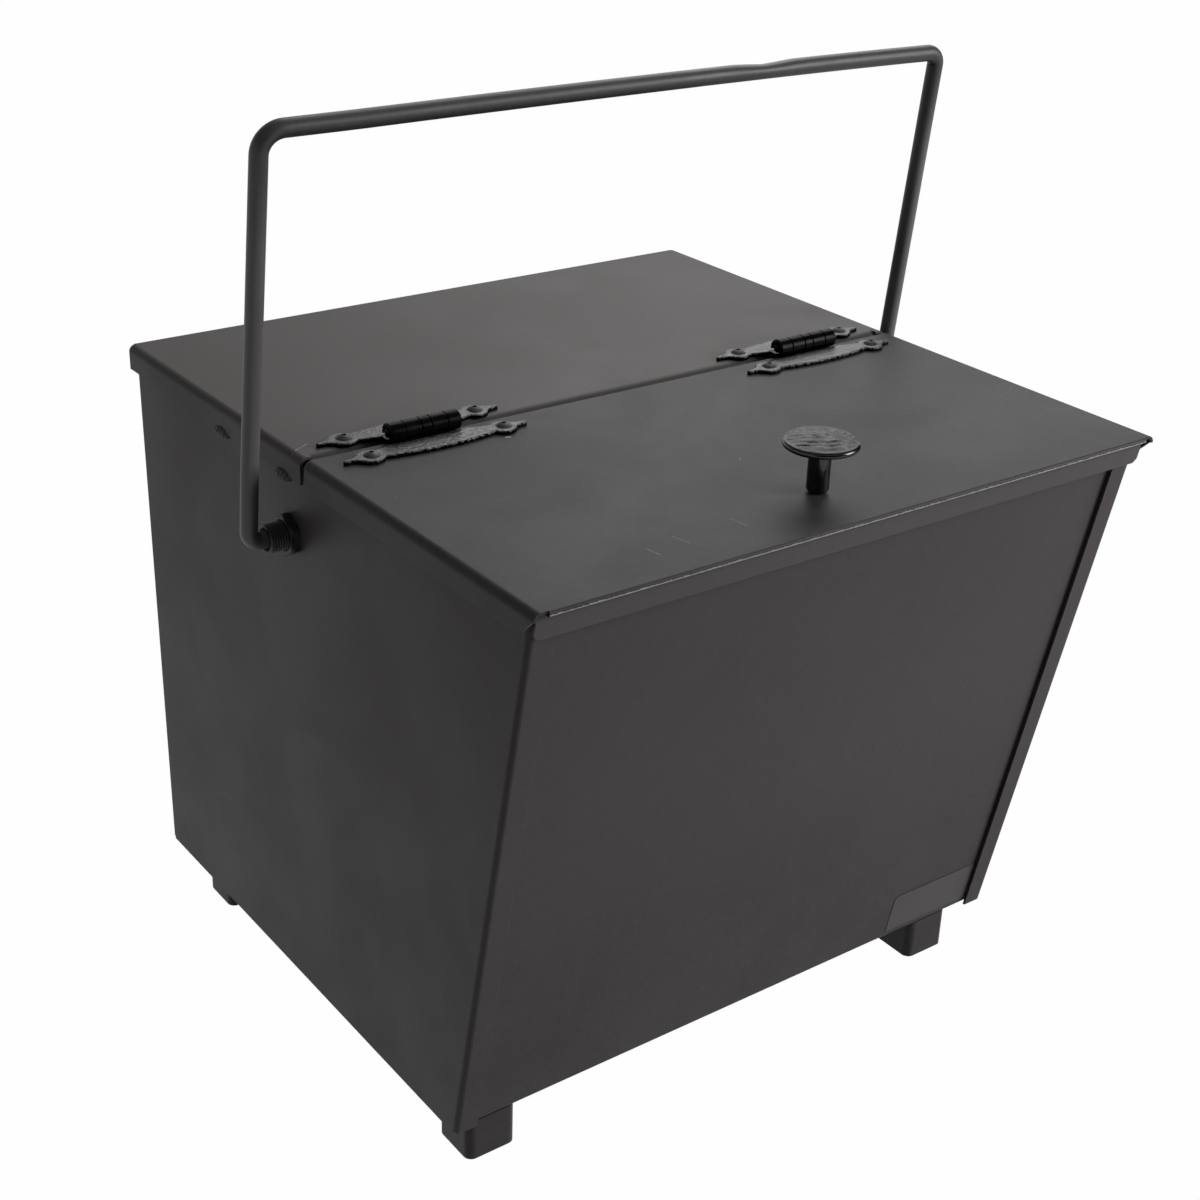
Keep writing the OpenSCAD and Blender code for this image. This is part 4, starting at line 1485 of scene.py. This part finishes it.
@dataclass
class BentRod:
    """The bail: one round rod, bent by hand, whose legs lean in a little towards the top.

    Sizes are in millimetres, in the bail's own plane: across it, and up from the pivots. Each leg
    leans in by left_in or right_in, from the height left_from or right_from up. The bar is highest
    at crest, and sags on each side over the length and by the depth that are given.
    """

    paint: bpy.types.Material
    radius: float = 4.72
    lean: float = 7.3
    foot_x: float = 223.25
    foot_bend: float = 7.0
    end_x: float = 185.5
    top: float = 221.7
    left_in: float = 3.1
    right_in: float = 5.7
    left_from: float = 40.0
    right_from: float = 7.0
    crest: float = 60.0
    left_sag: tuple[float, float] = (230.0, 1.05)
    right_sag: tuple[float, float] = (150.0, 1.0)
    left_bend: float = 13.0
    right_bend: float = 8.5
    hollow_x: float = 85.0
    hollow_reach: float = 12.0
    hollow_depth: float = 1.5
    uneven: float = 0.012
    bar_steps: int = 40
    sides: int = 28

    def leg_x(self, side: Side, height: float) -> float:
        """Finds how far out a leg's middle is at a height.

        Args:
            side: the side of the leg.
            height: height above the pivots.

        Returns:
            The place across, with its sign.
        """
        if side is Side.LEFT:
            lean, start = self.left_in, self.left_from
        else:
            lean, start = self.right_in, self.right_from
        return side.out * (self.foot_x - lean * max(0.0, height - start) / (self.top - start))

    def bar_height(self, across: float) -> float:
        """Finds the height of the top bar's middle, which bows up a little.

        Args:
            across: place across the bail.

        Returns:
            The height above the pivots.
        """
        length, depth = self.left_sag if across < self.crest else self.right_sag
        share = (across - self.crest) / length
        return self.top - depth * min(1.0, share * share)

    def half_path(self, side: Side) -> list[tuple[float, float]]:
        """Lists the middle line of one half, from its end in the bush to the top bar.

        Args:
            side: the side of that half.

        Returns:
            Points across and up.
        """
        bend = self.foot_bend
        inner = self.foot_x - bend
        path = [(side.out * (self.end_x + (inner - self.end_x) * i / 6), 0.0) for i in range(6)]
        path += [(side.out * x, height) for x, height in arc((inner, bend), bend, 270.0, 360.0, 10)]
        turn = self.left_bend if side is Side.LEFT else self.right_bend
        last = self.top - turn
        for i in range(1, 25):
            height = bend + (last - bend) * i / 24
            path.append((self.leg_x(side, height), height))
        corner_x = self.leg_x(side, last)
        crest = self.bar_height(corner_x - side.out * turn)
        for i in range(1, 13):
            angle = math.radians(90.0 * i / 12)
            x = corner_x - side.out * turn * (1.0 - math.cos(angle))
            path.append((x, last + (crest - last) * math.sin(angle)))
        return path

    def build(self) -> bpy.types.Object:
        """Makes the rod in place of the plain one.

        Returns:
            The piece.
        """
        left = self.half_path(Side.LEFT)
        right = self.half_path(Side.RIGHT)
        start, end = left[-1][0], right[-1][0]
        steps = self.bar_steps
        bar = [start + (end - start) * i / steps for i in range(1, steps)]
        path = left + [(x, self.bar_height(x)) for x in bar] + right[::-1]
        low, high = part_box("bush_left")
        pivot = (low + high) / (2.0 * MM)
        lean = math.radians(self.lean)
        forward = Vector((0.0, -math.cos(lean), -math.sin(lean)))
        rings: list[list[Vector]] = []
        for i, (x, height) in enumerate(path):
            before = path[max(i - 1, 0)]
            after = path[min(i + 1, len(path) - 1)]
            run_x, run_up = after[0] - before[0], after[1] - before[1]
            size = math.hypot(run_x, run_up)
            run_x, run_up = run_x / size, run_up / size
            across = Vector((run_up, run_x * math.sin(lean), -run_x * math.cos(lean)))
            back, up = height * math.sin(lean), height * math.cos(lean)
            middle = Vector((x, pivot.y - back, pivot.z + up))
            rough = 1.0 + self.uneven * noise.noise(Vector((x * 0.03, height * 0.03, 2.0)))
            girth = self.radius * min(1.0, rough)
            pressed = 0.0
            if height > self.top - 3.0:
                off = (x - self.hollow_x) / self.hollow_reach
                pressed = self.hollow_depth * math.exp(-off ** 2)
            ring = []
            for k in range(self.sides):
                angle = FULL_TURN * k / self.sides
                away = across * math.cos(angle) + forward * math.sin(angle)
                upward = max(0.0, away.z)
                ring.append((middle + away * (girth - pressed * upward ** 1.5)) * MM)
            rings.append(ring)
        shape = bmesh.new()
        skin(shape, rings)
        piece = add_mesh("bent_rod_bail", shape, self.paint, smooth=60.0)
        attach(piece, Body.BAIL.value)
        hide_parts("bail")
        log.info("bail with %d faces", len(piece.data.polygons))
        return piece


@dataclass
class TackWelds:
    """Short rippled weld beads that hold the cover's side edges on the side panels."""

    paint: bpy.types.Material
    radius: float = 3.7
    length: float = 13.6
    drop: float = 0.7
    sheet: float = 1.5
    inset: float = 7.0
    ripple: float = 3.1
    ripple_depth: float = 0.6
    sides: int = 32
    steps: int = 60

    def build(self) -> bpy.types.Object:
        """Makes the four beads in place of the plain ones.

        Returns:
            The piece.
        """
        low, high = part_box("cover_tack_welds")
        flange_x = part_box("rear_cover")[1].x / MM
        panel_x = -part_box("side_panel_left")[0].x / MM
        edge_z = (low.z + high.z) / (2.0 * MM) + self.drop
        middles = (low.y / MM + self.inset, high.y / MM - self.inset)
        shape = bmesh.new()
        for side in Side:
            for order, middle in enumerate(middles):
                self.bead(shape, side, middle, edge_z, flange_x, panel_x, 3.0 * order + side.out)
        bmesh.ops.scale(shape, verts=shape.verts, vec=(MM, MM, MM))
        piece = add_mesh("rippled_tack_welds", shape, self.paint, smooth=60.0)
        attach(piece, Body.BUCKET.value)
        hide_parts("cover_tack_welds")
        log.info("tack welds with %d faces", len(piece.data.polygons))
        return piece

    def bead(self, shape: bmesh.types.BMesh, side: Side, middle: float, edge_z: float,
             flange_x: float, panel_x: float, seed: float) -> None:
        """Adds one bead along the lower edge of the cover's side.

        Args:
            shape: the mesh to add to.
            side: the side of the bucket.
            middle: the bead's middle along the depth.
            edge_z: height of the cover's lower edge.
            flange_x: distance of the cover's side face from the middle of the box.
            panel_x: distance of the side panel's face from the middle of the box.
            seed: shift of the noise, so that no two beads are alike.
        """
        centre_x = flange_x - self.sheet
        centre_z = edge_z - self.drop
        rings: list[list[Vector]] = []
        for i in range(self.steps + 1):
            along = (i / self.steps - 0.5) * self.length
            share = min(0.998, abs(along) / (self.length / 2.0))
            girth = self.radius * (1.0 - share ** 2.6) ** 0.42
            ring = []
            for k in range(self.sides):
                angle = FULL_TURN * k / self.sides
                bow = 1.1 * math.cos(angle - 0.9)
                wave = abs(math.sin(math.pi * (along + bow + seed) / self.ripple))
                rough = noise.noise(Vector((along * 0.5, angle, seed)))
                reach = girth - self.ripple_depth * (1.0 - wave) * min(1.0, girth)
                reach = min(max(0.05, reach + 0.25 * rough * (1.0 - share)), girth)
                x = centre_x + reach * math.cos(angle)
                z = centre_z + reach * math.sin(angle)
                x = max(x, panel_x + CLEAR)
                if z > edge_z and x < flange_x + CLEAR:
                    z = edge_z - CLEAR
                ring.append(Vector((side.out * x, middle + along, z)))
            rings.append(ring)
        skin(shape, rings)


@dataclass
class Hardware:
    """Rivets, inner nuts, washer and screw: nodes that keep their shape and get a finish."""

    rivet_paint: bpy.types.Material
    black_paint: bpy.types.Material

    def dress(self) -> None:
        """Gives each node its finish."""
        for name in ("cover_hinge_rivets", "lid_hinge_rivets"):
            paint_node(name, self.rivet_paint)
        for name in ("knob_washer", "knob_screw", "bush_inner_nut_left", "bush_inner_nut_right"):
            paint_node(name, self.black_paint)


@dataclass(frozen=True)
class DarkCloth:
    """Black cloth of the flags that keep the camera's side dark in reflections."""

    name: str = "dark_cloth"
    colour: tuple[float, float, float] = (0.006, 0.006, 0.006)

    def build(self) -> bpy.types.Material:
        """Builds the material.

        Returns:
            The material.
        """
        material, graph, shader = new_material(self.name)
        graph.preset(shader, Base_Color=toned(self.colour), Roughness=0.95, Specular_IOR_Level=0.05)
        graph.bump(shader, graph.noise(graph.here(), 400.0, detail=2.0), 1.0 * MM)
        return material


@dataclass(frozen=True)
class GreyScrim:
    """Scrim under the ceiling, which shows in reflections as a soft grey."""

    name: str = "grey_scrim"
    colour: tuple[float, float, float] = (0.02, 0.02, 0.02)
    level: float = 0.38

    def build(self) -> bpy.types.Material:
        """Builds the material.

        Returns:
            The material.
        """
        material, graph, shader = new_material(self.name)
        graph.preset(
            shader, Base_Color=toned(self.colour), Roughness=0.9, Emission_Strength=self.level,
        )
        weave = graph.span(graph.noise(graph.here(), 3.0, detail=2.0), 0.2, 0.8)
        glow = graph.mix(weave, toned((0.95, 0.95, 0.95)), WHITE)
        graph.feed(shader.inputs["Emission Color"], glow)
        return material


@dataclass
class Studio:
    """Pale floor, soft lamps, a white surround, and flags that only reflections see."""

    ground: bpy.types.Material
    cloth: bpy.types.Material
    scrim: bpy.types.Material
    floor_size: float = 12.0
    sky: float = 0.128

    def build(self) -> None:
        """Makes the floor, the flags, the lamps and the world."""
        side = self.floor_size
        floor = self.sheet("studio_floor", (0.0, 0.0, -0.0004), (0.0, 0.0, 1.0), side, side)
        floor.data.materials.append(self.ground)
        self.flag("front_flag", self.cloth, (-0.5, -2.6, 1.2), (0.15, 1.0, -0.1), 5.0, 2.5)
        self.flag("right_flag", self.cloth, (2.3, -0.85, 1.2), (-1.0, 0.1, -0.1), 3.5, 2.5)
        self.flag("ceiling_scrim", self.scrim, (0.0, 0.0, 2.6), (0.0, 0.0, -1.0), 13.0, 13.0)
        self.lamp("top_softbox", (1.25, 1.1, 1.8), (0.0, 0.1, 0.3), 1.5, 25.0)
        self.lamp("front_softbox", (1.45, -1.35, 1.0), (0.2, 0.0, 0.45), 1.0, 9.5, spread=80.0)
        self.world()

    def sheet(self, name: str, place: Sequence[float], facing: Sequence[float], width: float,
              height: float) -> bpy.types.Object:
        """Makes one flat sheet of the studio, as a grid.

        Args:
            name: its name.
            place: its middle, in metres.
            facing: the way that it faces.
            width: its width in metres.
            height: its height in metres.

        Returns:
            The sheet, marked as part of the stage.
        """
        shape = bmesh.new()
        bmesh.ops.create_grid(shape, x_segments=8, y_segments=8, size=0.5)
        bmesh.ops.scale(shape, verts=shape.verts, vec=(width, height, 1.0))
        data = bpy.data.meshes.new(name)
        shape.to_mesh(data)
        shape.free()
        made = bpy.data.objects.new(name, data)
        made.rotation_euler = Vector(facing).to_track_quat("Z", "Y").to_euler()
        made.location = place
        bpy.context.scene.collection.objects.link(made)
        return made

    def flag(self, name: str, material: bpy.types.Material, place: Sequence[float],
             facing: Sequence[float], width: float, height: float) -> None:
        """Adds a flag that shows in reflections only.

        Args:
            name: its name.
            material: its cloth.
            place: its middle, in metres.
            facing: the way that it faces.
            width: its width in metres.
            height: its height in metres.
        """
        made = self.sheet(name, place, facing, width, height)
        made.data.materials.append(material)
        made.visible_camera = False
        made.visible_diffuse = False
        made.visible_transmission = False
        made.visible_shadow = False

    def lamp(self, name: str, place: Sequence[float], target: Sequence[float], size: float,
             power: float, spread: float = 180.0) -> None:
        """Adds a square soft lamp.

        Args:
            name: its name.
            place: where it stands, in metres.
            target: what it looks at, in metres.
            size: its side in metres.
            power: its power in watts.
            spread: width of its beam, in degrees.
        """
        data = bpy.data.lights.new(name, "AREA")
        data.spread = math.radians(spread)
        data.shape = "SQUARE"
        data.size = size
        data.energy = power
        lamp = bpy.data.objects.new(name, data)
        lamp.location = place
        aim = Vector(target) - Vector(place)
        lamp.rotation_euler = aim.to_track_quat("-Z", "Y").to_euler()
        bpy.context.scene.collection.objects.link(lamp)

    def world(self) -> None:
        """Sets a surround that is white to see and in reflections, and lights the object softly."""
        world = bpy.data.worlds.new("white_surround")
        world.use_nodes = True
        graph = Graph(world.node_tree)
        level = graph.math("MULTIPLY_ADD", graph.backdrop_rays(), 1.0 - self.sky, self.sky)
        shade = graph.node("ShaderNodeBackground")
        graph.preset(shade, Color=WHITE, Strength=level)
        output = graph.node("ShaderNodeOutputWorld")
        graph.feed(output.inputs["Surface"], shade.outputs[0])
        bpy.context.scene.world = world


FINISHES = (
    # Walls darken towards the bottom, from 250 mm down to 40 mm: painted shade.
    PowderCoat("powder_coat_walls", colour=(0.0585, 0.0505, 0.0555), painted_light_share=0.6),
    # The cover's folds and side flanges, below its top, are painted darker: painted shade.
    PowderCoat(
        "powder_coat_cover", colour=(0.069, 0.062, 0.0605), fade=(365.8, 364.6), painted_light_share=0.7,
        fade_wave=0.2, scratches_and_highlights=(
            LineMark((-199.8, 10.4, 366.0), (-190.1, 15.4, 366.0), 0.25),
            LineMark((-201.6, 9.6, 365.8), (-203.0, 7.4, 362.5), 0.25),
        ),
    ),
    # The lid's lip and side flanges, below 363 mm, are painted nearly twice as light: a painted
    # sheen.
    PowderCoat(
        "powder_coat_lid", colour=(0.0425, 0.0392, 0.0398), specular=0.122, fade=(363.0, 359.0),
        painted_light_share=1.9, fade_wave=1.0, scratches_and_highlights=(
            # Along the hem's nose: a painted highlight, on paint that is partly worn there.
            LineMark((-202.0, -212.7, 363.9), (202.0, -212.7, 363.9), 0.75),
            LineMark((-120.6, -181.6, 366.0), (-119.0, -191.7, 366.0), 0.13),
            LineMark((-101.6, -177.5, 366.0), (-99.4, -188.3, 366.0), 0.1),
            LineMark((-64.8, -175.7, 366.0), (-63.6, -187.6, 366.0), 0.1),
            LineMark((-97.2, -30.4, 366.0), (-95.4, -31.0, 366.0), 0.9),
            LineMark((-11.9, -119.3, 366.0), (-11.4, -119.5, 366.0), 0.4),
        ),
    ),
    # The legs are coloured lighter than the paint, and the top bar from 470 mm up is darkened to
    # 0.3 of that: painted light on the legs, painted shade on the top.
    PowderCoat(
        "powder_coat_rod", colour=(0.085, 0.08, 0.084), specular=0.42, grain=0.6, wear=0.2,
        smear=0.0, fade=(470.0, 525.0), painted_light_share=0.3, fade_wave=2.0,
    ),
    PowderCoat(
        "powder_coat_weld", colour=(0.06, 0.053, 0.058), roughness=0.7, specular=0.45, grain=0.5,
        smear=0.0,
    ),
    ForgedPaint(
        "hammered_iron_paint", colour=(0.013, 0.0125, 0.0122), roughness=0.42, specular=0.56,
        mark=1.1, depth=0.15, streak=1.6,
    ),
    ForgedPaint("rivet_paint", roughness=0.5, specular=0.3, mark=1.0, depth=0.02),
    # A far darker copy of the hinge paint, for the barrel, pin and leaf sides: painted shade.
    ForgedPaint(
        "painted_shade_iron", colour=(0.0012, 0.0012, 0.0013), roughness=0.24, specular=0.035, mark=5.0,
        depth=0.01, wear=0.2,
    ),
    ForgedPaint("stem_paint", colour=(0.006, 0.006, 0.006), roughness=0.16, depth=0.004, wear=0.1),
    ForgedPaint(
        "knob_paint", colour=(0.007, 0.007, 0.007), roughness=0.25, specular=0.12, mark=3.0,
        depth=0.006, wear=0.1,
    ),
    ForgedPaint(
        "hardware_paint", colour=(0.02, 0.019, 0.02), roughness=0.55, specular=0.25, mark=2.0,
        depth=0.18,
    ),
    BareLabel(),
)


def main() -> None:
    """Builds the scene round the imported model."""
    logging.basicConfig(level=logging.INFO, format="%(name)s: %(message)s")
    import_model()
    bpy.context.scene.view_settings.view_transform = "Standard"
    PhotoCamera().build()
    Studio(PaleGround().build(), DarkCloth().build(), GreyScrim().build()).build()
    effects = Effects()
    paint = {finish.name: finish.build(effects) for finish in FINISHES}
    sheet = SheetMetal(
        paint["powder_coat_walls"], paint["powder_coat_cover"], paint["powder_coat_lid"],
        paint["bare_label_film"],
    )
    sheet.dress()
    sheet.build_label()
    for side in Side:
        hinge = WroughtHinge(side, paint["hammered_iron_paint"], paint["painted_shade_iron"])
        hinge.build_leaf(Leaf.COVER)
        hinge.build_leaf(Leaf.LID)
        hinge.build_pin()
        ThreadedBush(side, paint["hardware_paint"]).build()
        HexNut(side, paint["hardware_paint"]).build()
    HammeredKnob(paint["knob_paint"], paint["stem_paint"]).build()
    BentRod(paint["powder_coat_rod"]).build()
    TackWelds(paint["powder_coat_weld"]).build()
    Hardware(paint["rivet_paint"], paint["hardware_paint"]).dress()


if __name__ == "__main__":
    main()
